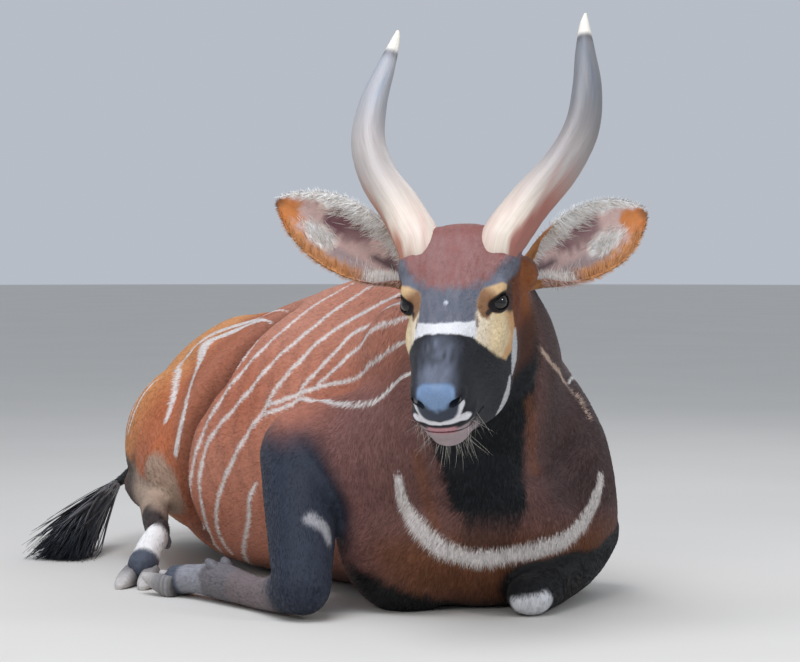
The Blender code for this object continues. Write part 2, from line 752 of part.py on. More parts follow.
def face_features(head):
    """Opens the eyes, the nostrils and the mouth in the solid head."""
    cutters = []
    for side in (-1, 1):
        look, along = gaze(side)
        turn = Matrix((look, along, look.cross(along))).transposed()
        spot = Vector((side * EYE_AT[0], *EYE_AT[1:])) + look * (EYE_RADIUS + LID)
        cutters.append(head_ball(f"lids_{side:+d}", *spot, (0.0115, 0.0168, 0.0112), turn, 14))
        tilt = Matrix.Rotation(math.radians(-35.0 * side), 3, "Y") @ Matrix.Rotation(math.radians(20.0 * side), 3, "Z")
        cutters.append(
            head_ball(f"nostril_{side:+d}", side * 0.029, 0.198, -0.036, (0.0095, 0.0150, 0.0060), tilt, 12)
        )
    for cutter in cutters:
        boolean(head, cutter, "DIFFERENCE")
        bpy.data.objects.remove(cutter)
    line = [(in_head(*spot), 0.009, 0.0008) for spot in MOUTH]
    mouth = path_tube("mouth_line", line, HEAD_NOSE + HEAD_LEFT * 0.01, round_ends=False, count=6, steps=1)
    boolean(head, mouth, "DIFFERENCE")
    bpy.data.objects.remove(mouth)
    return largest_only(head)


def head_cell():
    """A block round the head, whose back face slants behind the poll and the jaw."""
    facing = (HEAD_NOSE * 0.95 + HEAD_BROW * 0.31).normalized()
    lift = HEAD_LEFT.cross(facing) * -1.0
    middle = in_head(0.0, -0.140, 0.0) + facing * 0.30
    built = bmesh.new()
    bmesh.ops.create_cube(built, size=1.0)
    turn = Matrix((HEAD_LEFT, facing, lift)).transposed().to_4x4()
    shape = Matrix.Translation(middle) @ turn @ Matrix.Diagonal((0.26, 0.60, 0.42, 1.0))
    bmesh.ops.transform(built, matrix=shape, verts=built.verts)
    return from_bmesh("cell", built)


def build():
    nodes = {}
    body = thinned(body_flesh(), BODY_TRIANGLES)
    skin = thinned(head_flesh(), HEAD_TRIANGLES)
    body = union(body, [skin])
    head = nodes["head"] = split_off("head", body, head_cell())
    face_features(head)
    for side, word in ((-1, "right"), (1, "left")):
        eye = ball(f"eye_{word}", in_head(side * EYE_AT[0], *EYE_AT[1:]), (EYE_RADIUS,) * 3, segments=12)
        nodes[eye.name] = eye
        cut_clear(head, [eye])
    # The horns and ears stand on flat seats on the head
    for side, word in ((-1, "right"), (1, "left")):
        crown, spot, aim = horn(f"horn_{word}", side)
        seated(crown, head, spot, aim, HORN_BASE_RADIUS * 1.12)
        nodes[crown.name] = crown
        root, aim = EARS[word]
        aim = Vector(aim).normalized()
        listening = ear(f"ear_{word}", side, in_head(*root), aim, EAR_OPENING)
        seated(listening, head, in_head(*root) + aim * EAR_SEAT, aim, 0.034)
        cut_clear(listening, [body])
        nodes[listening.name] = listening
    # The legs from the hooves up
    for name, (joints, chains) in LEGS.items():
        spot, before = joints["coronet"][0], joints["pastern"][0]
        aim = spot - before
        sole_down = name == "hind_right"
        base = Vector((spot.x, spot.y, 0.0)) - Vector((aim.x, aim.y, 0.0)).normalized() * 0.008
        for aside, word in ((-1, "inner"), (1, "outer")):
            part = hoof(f"{name}_hoof_{word}", base, aim, aside, sole_down)
            nodes[part.name] = part
            cut_clear(body, [part], 2.5 * GAP)
        for part in reversed(list(chains)):
            margin = CELL_MARGIN[part]
            chain = CELL_CHAINS.get(part, chains[part])
            cell = hulled(limb("cell", joints, chain, margin, 1, margin > 0.01, 10))
            nodes[f"{name}_{part}"] = split_off(f"{name}_{part}", body, cell)
    cell = slab("cell", NECK_CUT_AT, NECK_CUT_FACING)
    nodes["neck"] = split_off("neck", body, cell)
    body.name = "torso"
    nodes["torso"] = largest_only(body)
    nodes["tail"] = cut_clear(tail_core(), [nodes["torso"]])
    nodes["tail_tuft"] = cut_clear(tuft(), [nodes["tail"]])
    return nodes


def on_the_floor(nodes):
    """Takes away what lies under the floor, and puts the middle of the bounding box over the origin."""
    floor = slab("floor", Vector((0.0, 0.5, 0.0)), Vector((0.0, 0.0, -1.0)), 2.0, 0.5)
    for node in nodes.values():
        if min(vert.co.z for vert in node.data.vertices) < 0:
            boolean(node, floor, "DIFFERENCE")
            largest_only(node)
    bpy.data.objects.remove(floor)
    points = [vert.co for node in nodes.values() for vert in node.data.vertices]
    low = Vector([min(point[i] for point in points) for i in range(3)])
    high = Vector([max(point[i] for point in points) for i in range(3)])
    shift = Vector((-(low.x + high.x) / 2, -(low.y + high.y) / 2, -low.z))
    for node in nodes.values():
        node.data.transform(Matrix.Translation(shift))
    return shift


def coloured(node, tone, rough):
    """Gives a node its own Principled material."""
    coat = bpy.data.materials.new(node.name)
    coat.use_nodes = True
    shader = coat.node_tree.nodes["Principled BSDF"]
    shader.inputs["Base Color"].default_value = (*tone, 1.0)
    shader.inputs["Roughness"].default_value = rough
    coat.diffuse_color = (*tone, 1.0)
    node.data.materials.clear()
    node.data.materials.append(coat)


def finish(nodes):
    """Smooth shading, colours, and every node in the animal's own collection."""
    group = bpy.data.collections.new("Bongo")
    bpy.context.scene.collection.children.link(group)
    for name, node in nodes.items():
        node.name = name
        node.data.name = name
        bpy.context.scene.collection.objects.unlink(node)
        group.objects.link(node)
        node.data.shade_smooth()
        node.data.set_sharp_from_angle(angle=math.radians(50.0))
        tone, rough = next((value for key, value in TONES if key in name), COAT)
        coloured(node, tone, rough)


def main():
    clear_scene()
    nodes = build()
    on_the_floor(nodes)
    finish(nodes)


main()
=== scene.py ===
"""The dressed bongo: one skin under a short coat, with horns, ears, eyes, hooves and a tail tuft.

Sizes are in metres. Points are given in the lying animal's own frame, with its brisket over the origin,
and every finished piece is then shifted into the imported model's frame.
"""

import itertools
import math

import bmesh
import bpy
import numpy as np
from mathutils import Matrix, Vector
from mathutils.kdtree import KDTree


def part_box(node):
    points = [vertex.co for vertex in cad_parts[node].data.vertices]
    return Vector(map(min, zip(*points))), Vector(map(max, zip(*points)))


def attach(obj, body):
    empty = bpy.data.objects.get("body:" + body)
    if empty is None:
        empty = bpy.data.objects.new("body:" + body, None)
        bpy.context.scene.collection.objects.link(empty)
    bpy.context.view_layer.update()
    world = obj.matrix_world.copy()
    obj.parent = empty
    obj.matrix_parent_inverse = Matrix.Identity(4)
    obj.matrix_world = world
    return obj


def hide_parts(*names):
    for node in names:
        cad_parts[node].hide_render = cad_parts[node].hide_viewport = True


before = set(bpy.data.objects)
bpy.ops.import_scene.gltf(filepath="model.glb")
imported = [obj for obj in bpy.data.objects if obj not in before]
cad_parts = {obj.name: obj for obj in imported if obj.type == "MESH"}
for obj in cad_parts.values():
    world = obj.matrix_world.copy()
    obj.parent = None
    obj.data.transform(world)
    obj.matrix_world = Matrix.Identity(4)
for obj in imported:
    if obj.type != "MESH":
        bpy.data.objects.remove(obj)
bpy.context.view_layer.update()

# Driving sizes, as the solids have them
MASS_VOXEL = 0.0085
SKIN_VOXEL = 0.0052
HEAD_VOXEL = 0.0042
FACE_VOXEL = 0.0023
HEAD_AT = Vector((-0.192, -0.211, 0.523))
HEAD_YAW, HEAD_PITCH, HEAD_ROLL = math.radians(42.0), math.radians(38.0), math.radians(2.5)
EYE_RADIUS = 0.0180
EYE_AT = (0.0665, 0.0040, -0.0045)
LID = 0.0034
COAT_DEPTH = 0.0026
FACE_COAT_DEPTH = 0.0010
LOWEST_SKIN, LOWEST_LOCK = 0.0012, 0.0008
ACROSS, UP = Vector((1.0, 0.0, 0.0)), Vector((0.0, 0.0, 1.0))
# The line along the trunk that the stripes turn round: its height, and how far from it they are laid flat
TRUNK_MIDDLE, TRUNK_RADIUS = 0.22, 0.28

# Where the joints are, as the animal lies: each point with its half width across and half depth
FORE_RIGHT = {
    "blade": (Vector((-0.080, 0.130, 0.430)), 0.085, 0.105),
    "shoulder": (Vector((-0.130, 0.010, 0.275)), 0.100, 0.140),
    "elbow": (Vector((-0.250, 0.195, 0.258)), 0.074, 0.085),
    "forearm": (Vector((-0.290, 0.120, 0.170)), 0.063, 0.066),
    "knee": (Vector((-0.328, 0.045, 0.055)), 0.050, 0.052),
    "cannon": (Vector((-0.343, 0.150, 0.030)), 0.028, 0.030),
    "fetlock": (Vector((-0.358, 0.290, 0.036)), 0.032, 0.035),
    "pastern": (Vector((-0.374, 0.345, 0.034)), 0.028, 0.028),
    "coronet": (Vector((-0.392, 0.390, 0.028)), 0.030, 0.027),
}
FORE_LEFT = {
    "blade": (Vector((0.085, 0.140, 0.420)), 0.080, 0.100),
    "shoulder": (Vector((0.140, 0.020, 0.255)), 0.085, 0.120),
    "elbow": (Vector((0.266, 0.118, 0.104)), 0.064, 0.072),
    "forearm": (Vector((0.168, 0.014, 0.064)), 0.052, 0.052),
    "knee": (Vector((0.018, -0.096, 0.033)), 0.040, 0.036),
    "cannon": (Vector((0.112, -0.002, 0.029)), 0.027, 0.029),
    "fetlock": (Vector((0.215, 0.105, 0.034)), 0.031, 0.034),
    "pastern": (Vector((0.254, 0.155, 0.034)), 0.027, 0.027),
    "coronet": (Vector((0.288, 0.202, 0.028)), 0.030, 0.027),
}
HIND_RIGHT = {
    "hip": (Vector((-0.108, 0.950, 0.262)), 0.112, 0.130),
    "thigh": (Vector((-0.172, 0.870, 0.222)), 0.116, 0.142),
    "stifle": (Vector((-0.240, 0.725, 0.190)), 0.074, 0.095),
    "shank": (Vector((-0.240, 0.800, 0.165)), 0.060, 0.070),
    "hock": (Vector((-0.245, 0.885, 0.145)), 0.038, 0.048),
    "cannon": (Vector((-0.288, 0.750, 0.130)), 0.028, 0.033),
    "fetlock": (Vector((-0.335, 0.612, 0.094)), 0.031, 0.035),
    "pastern": (Vector((-0.366, 0.572, 0.064)), 0.028, 0.029),
    "coronet": (Vector((-0.396, 0.540, 0.036)), 0.030, 0.028),
}
HIND_LEFT = {
    "hip": (Vector((0.108, 0.950, 0.262)), 0.112, 0.130),
    "thigh": (Vector((0.172, 0.870, 0.220)), 0.116, 0.140),
    "stifle": (Vector((0.258, 0.700, 0.165)), 0.072, 0.092),
    "shank": (Vector((0.255, 0.810, 0.125)), 0.060, 0.070),
    "hock": (Vector((0.240, 0.925, 0.075)), 0.038, 0.046),
    "cannon": (Vector((0.270, 0.805, 0.034)), 0.028, 0.031),
    "fetlock": (Vector((0.306, 0.670, 0.036)), 0.031, 0.034),
    "pastern": (Vector((0.330, 0.618, 0.034)), 0.027, 0.027),
    "coronet": (Vector((0.352, 0.575, 0.028)), 0.030, 0.027),
}
FORE_CHAINS = (
    ("blade", "shoulder", "elbow"),
    ("elbow", "forearm", "knee"),
    ("knee", "cannon", "fetlock"),
    ("fetlock", "pastern", "coronet"),
)
HIND_CHAINS = (
    ("hip", "thigh", "stifle"),
    ("stifle", "shank", "hock"),
    ("hock", "cannon", "fetlock"),
    ("fetlock", "pastern", "coronet"),
)
LEGS = {
    "fore_right": (FORE_RIGHT, FORE_CHAINS),
    "fore_left": (FORE_LEFT, FORE_CHAINS),
    "hind_right": (HIND_RIGHT, HIND_CHAINS),
    "hind_left": (HIND_LEFT, HIND_CHAINS),
}

# The trunk from chest to rump: y, middle x, top, widest height, bottom, half width, roundness above and below
TRUNK = (
    (-0.075, 0.020, 0.230, 0.150, 0.080, 0.060, 2.0, 2.0),
    (-0.055, 0.022, 0.300, 0.170, 0.040, 0.125, 2.0, 2.1),
    (-0.010, 0.025, 0.390, 0.185, 0.004, 0.180, 2.0, 2.2),
    (0.060, 0.025, 0.480, 0.200, -0.006, 0.212, 1.9, 2.3),
    (0.150, 0.022, 0.545, 0.220, -0.010, 0.228, 1.8, 2.3),
    (0.270, 0.014, 0.573, 0.235, -0.007, 0.238, 1.7, 2.3),
    (0.400, 0.006, 0.556, 0.230, -0.006, 0.262, 1.8, 2.3),
    (0.520, 0.000, 0.530, 0.215, -0.008, 0.286, 1.8, 2.4),
    (0.640, 0.000, 0.504, 0.205, -0.008, 0.292, 1.8, 2.4),
    (0.760, 0.000, 0.484, 0.205, -0.004, 0.258, 1.7, 2.3),
    (0.880, 0.000, 0.474, 0.205, 0.010, 0.228, 1.6, 2.2),
    (0.980, 0.000, 0.464, 0.200, 0.020, 0.218, 1.6, 2.1),
    (1.060, 0.000, 0.430, 0.200, 0.040, 0.188, 1.7, 2.0),
    (1.115, 0.000, 0.368, 0.200, 0.080, 0.135, 1.8, 2.0),
    (1.142, 0.000, 0.300, 0.205, 0.130, 0.060, 2.0, 2.0),
)

# The full front of the chest and the points of the hips in lobes: each middle with its radii
LOBES = (
    (Vector((0.015, 0.065, 0.215)), (0.170, 0.140, 0.210)),
    (Vector((-0.115, 0.075, 0.140)), (0.125, 0.130, 0.155)),
    (Vector((0.130, 0.070, 0.150)), (0.125, 0.130, 0.165)),
    (Vector((-0.085, 0.060, 0.330)), (0.110, 0.120, 0.130)),
    (Vector((-0.052, -0.005, 0.250)), (0.105, 0.105, 0.150)),
    (Vector((0.020, 0.006, 0.180)), (0.165, 0.108, 0.115)),
    (Vector((0.080, 0.025, 0.300)), (0.115, 0.108, 0.125)),
    (Vector((-0.112, 0.845, 0.378)), (0.050, 0.075, 0.052)),
    (Vector((0.112, 0.845, 0.378)), (0.050, 0.075, 0.052)),
)

# The neck from inside the chest to the back of the skull: middle, half width, height above, height below
NECK = (
    (Vector((0.015, 0.280, 0.360)), 0.120, 0.190, 0.190),
    (Vector((0.014, 0.150, 0.355)), 0.145, 0.190, 0.205),
    (Vector((0.008, 0.050, 0.375)), 0.144, 0.165, 0.200),
    (Vector((-0.022, -0.030, 0.430)), 0.122, 0.128, 0.175),
    (Vector((-0.066, -0.088, 0.492)), 0.098, 0.098, 0.135),
    (Vector((-0.110, -0.130, 0.540)), 0.080, 0.078, 0.105),
)

# The head along its nose axis: nose, top, widest, bottom, half width, roundness above and below
HEAD = (
    (-0.168, 0.000, -0.050, -0.110, 0.040, 2.0, 2.0),
    (-0.148, 0.034, -0.042, -0.140, 0.068, 2.3, 2.0),
    (-0.110, 0.060, -0.030, -0.162, 0.085, 2.6, 2.0),
    (-0.070, 0.058, -0.025, -0.178, 0.088, 2.7, 2.0),
    (-0.030, 0.050, -0.035, -0.192, 0.083, 2.5, 3.0),
    (0.010, 0.041, -0.050, -0.196, 0.077, 2.2, 4.4),
    (0.045, 0.033, -0.060, -0.192, 0.073, 2.1, 5.0),
    (0.078, 0.027, -0.062, -0.182, 0.067, 2.1, 5.0),
    (0.110, 0.021, -0.060, -0.169, 0.059, 2.2, 4.0),
    (0.140, 0.014, -0.058, -0.156, 0.053, 2.3, 2.6),
    (0.168, 0.005, -0.056, -0.147, 0.049, 2.3, 2.1),
    (0.188, -0.005, -0.056, -0.134, 0.043, 2.3, 2.1),
    (0.202, -0.016, -0.058, -0.112, 0.031, 2.2, 2.0),
    (0.208, -0.032, -0.062, -0.090, 0.014, 2.0, 2.0),
)
MOUTH = (
    (0.053, 0.136, -0.105),
    (0.045, 0.166, -0.100),
    (0.027, 0.192, -0.094),
    (0.000, 0.203, -0.091),
    (-0.027, 0.192, -0.094),
    (-0.045, 0.166, -0.100),
    (-0.053, 0.136, -0.105),
)

# One horn in head axes, the left one: how far left, how far back along the horn's own line, how thick
HORN_BASE_RADIUS = 0.0365
HORN_KEEL = 0.16
HORN_START = (-0.094, 0.032)
HORN_RISE = math.radians(20.0)
HORN = (
    (0.044, -0.045, 0.45),
    (0.051, -0.030, 0.86),
    (0.066, 0.005, 1.00),
    (0.103, 0.070, 0.95),
    (0.148, 0.135, 0.87),
    (0.175, 0.205, 0.78),
    (0.177, 0.280, 0.64),
    (0.166, 0.350, 0.43),
    (0.157, 0.405, 0.21),
    (0.155, 0.428, 0.06),
)
HORN_LEAN = {"right": (-0.006, 1.00), "left": (0.012, 1.03)}
HORN_SIDES = 56
# A horn's outer facet, partly painted shade, its greying middle and its cold upper part: the left horn's are darker,
# painted shade as it has less light
HORN_TONES = {"right": ("#b07a66", "#9b9496", "#8f9aa8"), "left": ("#9c6256", "#827d84", "#76828f")}

# A hoof from heel to tip: how far along, how wide, how tall
HOOF_LENGTH, HOOF_WIDTH, HOOF_HEIGHT = 0.074, 0.033, 0.038
HOOF = (
    (0.00, 0.78, 0.88),
    (0.15, 1.00, 1.00),
    (0.50, 1.00, 0.80),
    (0.78, 0.84, 0.52),
    (0.94, 0.52, 0.30),
    (1.00, 0.25, 0.20),
)
HOOF_RINGS = 9

# An ear from root to tip: how far along, half width, how far round its rim reaches, how far it leans
EAR_LENGTH, EAR_THICK = 0.258, 0.0050
EAR = (
    (-0.06, 0.020, 150.0, 0.000),
    (0.10, 0.027, 135.0, 0.000),
    (0.25, 0.044, 96.0, 0.002),
    (0.45, 0.057, 76.0, 0.004),
    (0.65, 0.055, 64.0, 0.005),
    (0.82, 0.040, 56.0, 0.003),
    (0.95, 0.019, 50.0, 0.000),
    (1.00, 0.005, 50.0, -0.002),
)
EARS = {
    "right": ((-0.090, -0.124, -0.055), (-0.735, 0.465, 0.49), 1.0),
    "left": ((0.090, -0.124, -0.055), (0.912, 0.055, 0.405), -1.0),
}
EAR_OPENING = Vector((-0.42, -0.88, 0.10))

# The tail: each point with its half width and half depth
TAIL = (
    (Vector((-0.005, 1.085, 0.350)), 0.024, 0.022),
    (Vector((-0.020, 1.150, 0.300)), 0.021, 0.020),
    (Vector((-0.075, 1.180, 0.215)), 0.017, 0.017),
    (Vector((-0.150, 1.155, 0.150)), 0.014, 0.014),
    (Vector((-0.215, 1.095, 0.125)), 0.012, 0.012),
)
TUFT_FROM = Vector((-0.222, 1.088, 0.122))
TUFT_TO = Vector((-0.415, 0.925, 0.018))

# White stripes on the flank: each point is how far back it lies, and its angle up from level round the trunk
STRIPES = (
    (
        (0.535, 68), (0.600, 69), (0.720, 72), (0.840, 72), (0.915, 67), (0.935, 57), (0.905, 45),
        (0.823, 32), (0.727, 12),
    ),
    (
        (0.545, 61), (0.600, 62), (0.710, 65), (0.790, 65), (0.832, 60), (0.818, 49), (0.760, 36),
        (0.655, 18), (0.650, 1),
    ),
    ((0.506, 60), (0.500, 52), (0.508, 37), (0.546, 25), (0.572, 14), (0.590, 0)),
    (
        (0.350, 86), (0.374, 73), (0.406, 65), (0.427, 56), (0.474, 39), (0.513, 22), (0.553, 1),
        (0.577, -11), (0.601, -28),
    ),
    (
        (0.262, 86), (0.292, 74), (0.322, 65), (0.355, 55), (0.404, 40), (0.448, 24), (0.510, 8),
        (0.537, -6), (0.555, -23), (0.610, -41),
    ),
    (
        (0.165, 86), (0.204, 75), (0.262, 63), (0.315, 51), (0.355, 36), (0.380, 22), (0.412, 11),
        (0.462, -5), (0.498, -16), (0.571, -42),
    ),
    ((0.060, 82), (0.100, 70), (0.216, 62), (0.245, 52), (0.277, 42), (0.299, 34)),
    ((0.030, 78), (0.075, 63), (0.139, 58), (0.196, 54), (0.223, 46), (0.257, 38)),
    ((-0.020, 66), (0.038, 56), (0.075, 50), (0.140, 46), (0.184, 42), (0.253, 37), (0.324, 30), (0.378, 24)),
    ((-0.050, 52), (-0.012, 45), (0.010, 37), (0.030, 31), (0.110, 28), (0.275, 31), (0.317, 27), (0.373, 21)),
    ((0.384, -7), (0.408, -14), (0.444, -27), (0.599, -55)),
    ((0.890, 32), (0.883, 20), (0.881, 6)),
    ((0.914, 30), (0.907, 16), (0.901, 4)),
)
STRIPE_HALF_WIDTH = 0.0046
STRIPE_SHARES = (1.40, 2.00, 0.75) + (1.0,) * 10
# The front edge of each haunch, where the skin folds in
FOLD = (
    (0.486, 66), (0.512, 58), (0.524, 47), (0.533, 32), (0.563, 20), (0.588, 9), (0.598, -5), (0.597, -19),
    (0.590, -30),
)
CRESCENT = (
    (-0.202, -0.049, 0.235),
    (-0.186, -0.041, 0.189),
    (-0.158, -0.044, 0.149),
    (-0.117, -0.050, 0.114),
    (-0.070, -0.060, 0.098),
    (-0.024, -0.072, 0.098),
    (0.040, -0.082, 0.105),
    (0.113, -0.065, 0.121),
    (0.156, -0.060, 0.153),
    (0.167, -0.074, 0.197),
    (0.169, -0.079, 0.222),
)
NECK_LINE = (
    (-0.012, -0.167, 0.447), (0.034, -0.139, 0.417), (0.111, -0.061, 0.379), (0.139, -0.061, 0.348),
    (0.152, -0.072, 0.318),
)

# sRGB colours of the coat
CHESTNUT = "#ac664b"
CHESTNUT_PALE = "#c58e7a"
RUMP = "#d9985f"
HAUNCH = "#b0623a"
# Painted shade in the crease before each haunch
FOLD_SHADE_BROWN = "#5a2c1a"
SHOULDER = "#a56957"
MAUVE_BROWN = "#7d5a58"
NECK_BROWN = "#6f4e49"
NECK_DARK = "#423536"
BREAST = "#6c4229"
THROAT_BLACK = "#12161b"
LEG_SLATE = "#2c3240"
LEG_BLACK = "#0b0c0f"
WHITE_HAIR = "#ddd8d4"
EAR_WHITE = "#fffaf2"
SHANK = "#a8917f"
TAN = "#e6cfa6"
FOREHEAD = "#8f5d57"
FACE_SLATE = "#5d616e"
MUZZLE_DARK = "#1c1d23"
MUZZLE_GREY_SHEEN = "#737a8c"
NOSE_BLACK = "#343b49"
NOSE_SKY_REFLECTION = "#7a94b8"
LIP_PINK = "#b9898f"
CHIN = "#a59598"
SIDE_ORANGE = "#6c3617"

# The pale patches inside the right forearm, on the left knee and on the shank: line, inner and outer edge,
# strength, colour
PALE_PATCHES = (
    (((-0.310, 0.045, 0.164), (-0.290, 0.040, 0.150), (-0.280, 0.038, 0.130)), 0.003, 0.017, 0.75, "#b9b8bd"),
    (((-0.035, -0.106, 0.010), (-0.005, -0.120, 0.012), (0.026, -0.130, 0.016)), 0.019, 0.031, 1.0, "#dcdde2"),
    (((-0.303, 0.700, 0.188), (-0.299, 0.680, 0.165), (-0.300, 0.655, 0.125)), 0.020, 0.046, 0.9, SHANK),
)
# The middle of the throat's black, and its paler strands
THROAT = (
    (-0.100, -0.185, 0.450),
    (-0.090, -0.120, 0.300),
    (-0.066, -0.105, 0.235),
    (-0.045, -0.085, 0.184),
    (-0.045, -0.080, 0.142),
)
THROAT_STRANDS = (
    ((-0.185, -0.084, 0.271), (-0.172, -0.081, 0.230), (-0.148, -0.059, 0.187), (-0.133, -0.052, 0.153)),
    ((-0.020, -0.157, 0.358), (0.011, -0.120, 0.290), (0.035, -0.089, 0.238)),
)
# The outline of the tan patch under an eye, by nose and brow
TAN_PATCH = (
    (0.094, 0.024), (0.048, 0.016), (0.016, -0.012), (-0.024, -0.048), (-0.020, -0.082),
    (0.010, -0.096), (0.036, -0.094), (0.070, -0.058), (0.092, -0.012),
)
LID_LINE = ((0.047, 0.070, 0.002), (0.050, 0.044, 0.016), (0.061, 0.012, 0.031), (0.073, -0.006, 0.032))
# White spots on the cheek, then the white of the lip and beside the nostril: line and half width
CHEEK_SPOTS = (
    (
        ((0.081, -0.020, -0.086), (0.080, -0.008, -0.100), (0.079, 0.003, -0.110), (0.078, 0.010, -0.121),
         (0.077, 0.018, -0.134)),
        0.0140,
    ),
    (((0.072, 0.038, -0.135), (0.068, 0.051, -0.150), (0.065, 0.066, -0.155), (0.058, 0.083, -0.160)), 0.0150),
)
WHITE_LIPS = (
    (((0.000, 0.208, -0.074), (0.015, 0.207, -0.070), (0.032, 0.200, -0.068), (0.046, 0.189, -0.071)), 0.0062),
    (((0.035, 0.186, -0.036), (0.037, 0.195, -0.046), (0.031, 0.202, -0.058), (0.025, 0.205, -0.067)), 0.0056),
)
NOSE_PAD = (0.000, 0.200, -0.040)

# The coat's parts: how many tufts, their length and width, and their slot
COAT = {
    "coat_front": (49000, 0.0115, 0.0016, "body_coat"),
    "coat_shoulders": (49000, 0.0080, 0.0014, "body_coat"),
    "coat_flanks": (49000, 0.0080, 0.0014, "body_coat"),
    "coat_haunches": (49000, 0.0095, 0.0016, "body_coat"),
    "coat_legs": (42000, 0.0075, 0.0013, "leg_coat"),
    "coat_head": (49000, 0.0048, 0.0010, "face_coat"),
}
EAR_TUFTS, FRINGE_HAIRS, TUFT_LOCKS, CREST_LOCKS, WHISKERS, LASHES = 9000, 3000, 900, 1500, 130, 34

# Lights: where each stands, what it points at, its size in metres, its power in watts and its colour
LIGHTS = {
    "high_soft_light": ((-1.2, -0.8, 3.6), (0.0, 0.0, 0.3), 2.6, 92.0, "#f4f7ff"),
    "front_light": ((-3.4, -3.2, 2.2), (0.0, -0.2, 0.4), 1.8, 38.0, "#fffaf2"),
    "left_rim_light": ((2.6, 1.6, 2.6), (0.0, 0.2, 0.4), 1.6, 14.0, "#ffffff"),
}
CATCH_LIGHT_WAY = Vector((0.519, -0.745, 0.409))
CAMERA_AT = Vector((-2.12818539, -3.53094634, 0.615))
CAMERA_RIGHT = Vector((0.8746, -0.4848, 0.0))
CAMERA_AHEAD = Vector((0.4845, 0.8740, -0.0367))
CAMERA_LENS, SENSOR_WIDTH = 111.6, 36.0


def linear(hex_colour):
    """The linear red, green and blue of an sRGB hex colour."""
    values = np.array([int(hex_colour[i : i + 2], 16) / 255.0 for i in (1, 3, 5)])
    return np.where(values <= 0.04045, values / 12.92, ((values + 0.055) / 1.055) ** 2.4)


def head_axes():
    """The head's own axes: to its left, to its nose and to the top of its brow."""
    level = Vector((-math.sin(HEAD_YAW), -math.cos(HEAD_YAW), 0.0))
    nose = level * math.cos(HEAD_PITCH) - UP * math.sin(HEAD_PITCH)
    brow = level * math.sin(HEAD_PITCH) + UP * math.cos(HEAD_PITCH)
    left = brow.cross(nose)
    roll = Matrix.Rotation(HEAD_ROLL, 3, nose)
    return roll @ left, nose, roll @ brow


HEAD_LEFT, HEAD_NOSE, HEAD_BROW = head_axes()
HEAD_ROWS = np.array([HEAD_LEFT, HEAD_NOSE, HEAD_BROW])


def in_head(left, nose, brow):
    """A point given along the head's axes from the middle between the eyes."""
    return HEAD_AT + HEAD_LEFT * left + HEAD_NOSE * nose + HEAD_BROW * brow


def eye_at(side):
    """The middle of an eye, in head axes."""
    return side * EYE_AT[0], EYE_AT[1], EYE_AT[2]


def head_turn():
    return Matrix((HEAD_LEFT, HEAD_NOSE, HEAD_BROW)).transposed()


def head_place(points):
    """Where points lie along the head's axes: to its left, to its nose and up its brow."""
    return (points - np.array(HEAD_AT)) @ HEAD_ROWS.T


def half_place(points):
    """The same, with the head's right half folded onto its left half."""
    place = head_place(points)
    place[:, 0] = np.abs(place[:, 0])
    return place


def frame_shift():
    """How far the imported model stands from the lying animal's own frame, from where its eyes are."""
    total = Vector()
    for side, word in ((-1, "right"), (1, "left")):
        low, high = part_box(f"eye_{word}")
        total += (Vector(low) + Vector(high)) / 2 - in_head(*eye_at(side))
    return total / 2


SHIFT = frame_shift()


# Shapes


def new_object(name, mesh):
    thing = bpy.data.objects.new(name, mesh)
    bpy.context.scene.collection.objects.link(thing)
    return thing


def from_bmesh(name, built):
    bmesh.ops.recalc_face_normals(built, faces=built.faces)
    mesh = bpy.data.meshes.new(name)
    built.to_mesh(mesh)
    built.free()
    return new_object(name, mesh)


def ring_tube(name, rings):
    """A closed tube through rings of as many points each, with a fan over each end."""
    built = bmesh.new()
    rows = [[built.verts.new(point) for point in ring] for ring in rings]
    count = len(rings[0])
    for first, second in zip(rows, rows[1:]):
        for i in range(count):
            j = (i + 1) % count
            built.faces.new((first[i], first[j], second[j], second[i]))
    for row in (rows[0], rows[-1]):
        middle = built.verts.new(sum((v.co for v in row), Vector()) / count)
        for i in range(count):
            built.faces.new((row[i], row[(i + 1) % count], middle))
    return from_bmesh(name, built)


def smooth_rows(rows, steps):
    """The rows of numbers with more rows between them, on a curve that passes through each row."""
    found = []
    for i in range(len(rows) - 1):
        before, start = rows[max(0, i - 1)], rows[i]
        end, after = rows[i + 1], rows[min(len(rows) - 1, i + 2)]
        for step in range(steps):
            t = step / steps
            found.append(
                [
                    0.5 * (2 * b + (c - a) * t + (2 * a - 5 * b + 4 * c - d) * t * t + (3 * b - a - 3 * c + d) * t**3)
                    for a, b, c, d in zip(before, start, end, after)
                ]
            )
    found.append(list(rows[-1]))
    return found


def round_share(value, roundness):
    """A sine or cosine pulled towards a boxier or a sharper curve."""
    return math.copysign(abs(value) ** (2.0 / roundness), value)


def heading(points, i):
    """The way a path runs at one of its points."""
    return (points[min(len(points) - 1, i + 1)] - points[max(0, i - 1)]).normalized()


def section(middle, side, up, half_width, above, below, round_up=2.0, round_down=2.0, count=24):
    """One ring with its own height above and below its widest line."""
    ring = []
    for i in range(count):
        angle = 2.0 * math.pi * i / count
        across, height = math.cos(angle), math.sin(angle)
        roundness = round_up if height >= 0 else round_down
        reach = above if height >= 0 else below
        aside = side * half_width * round_share(across, roundness)
        ring.append(middle + aside + up * reach * round_share(height, roundness))
    return ring


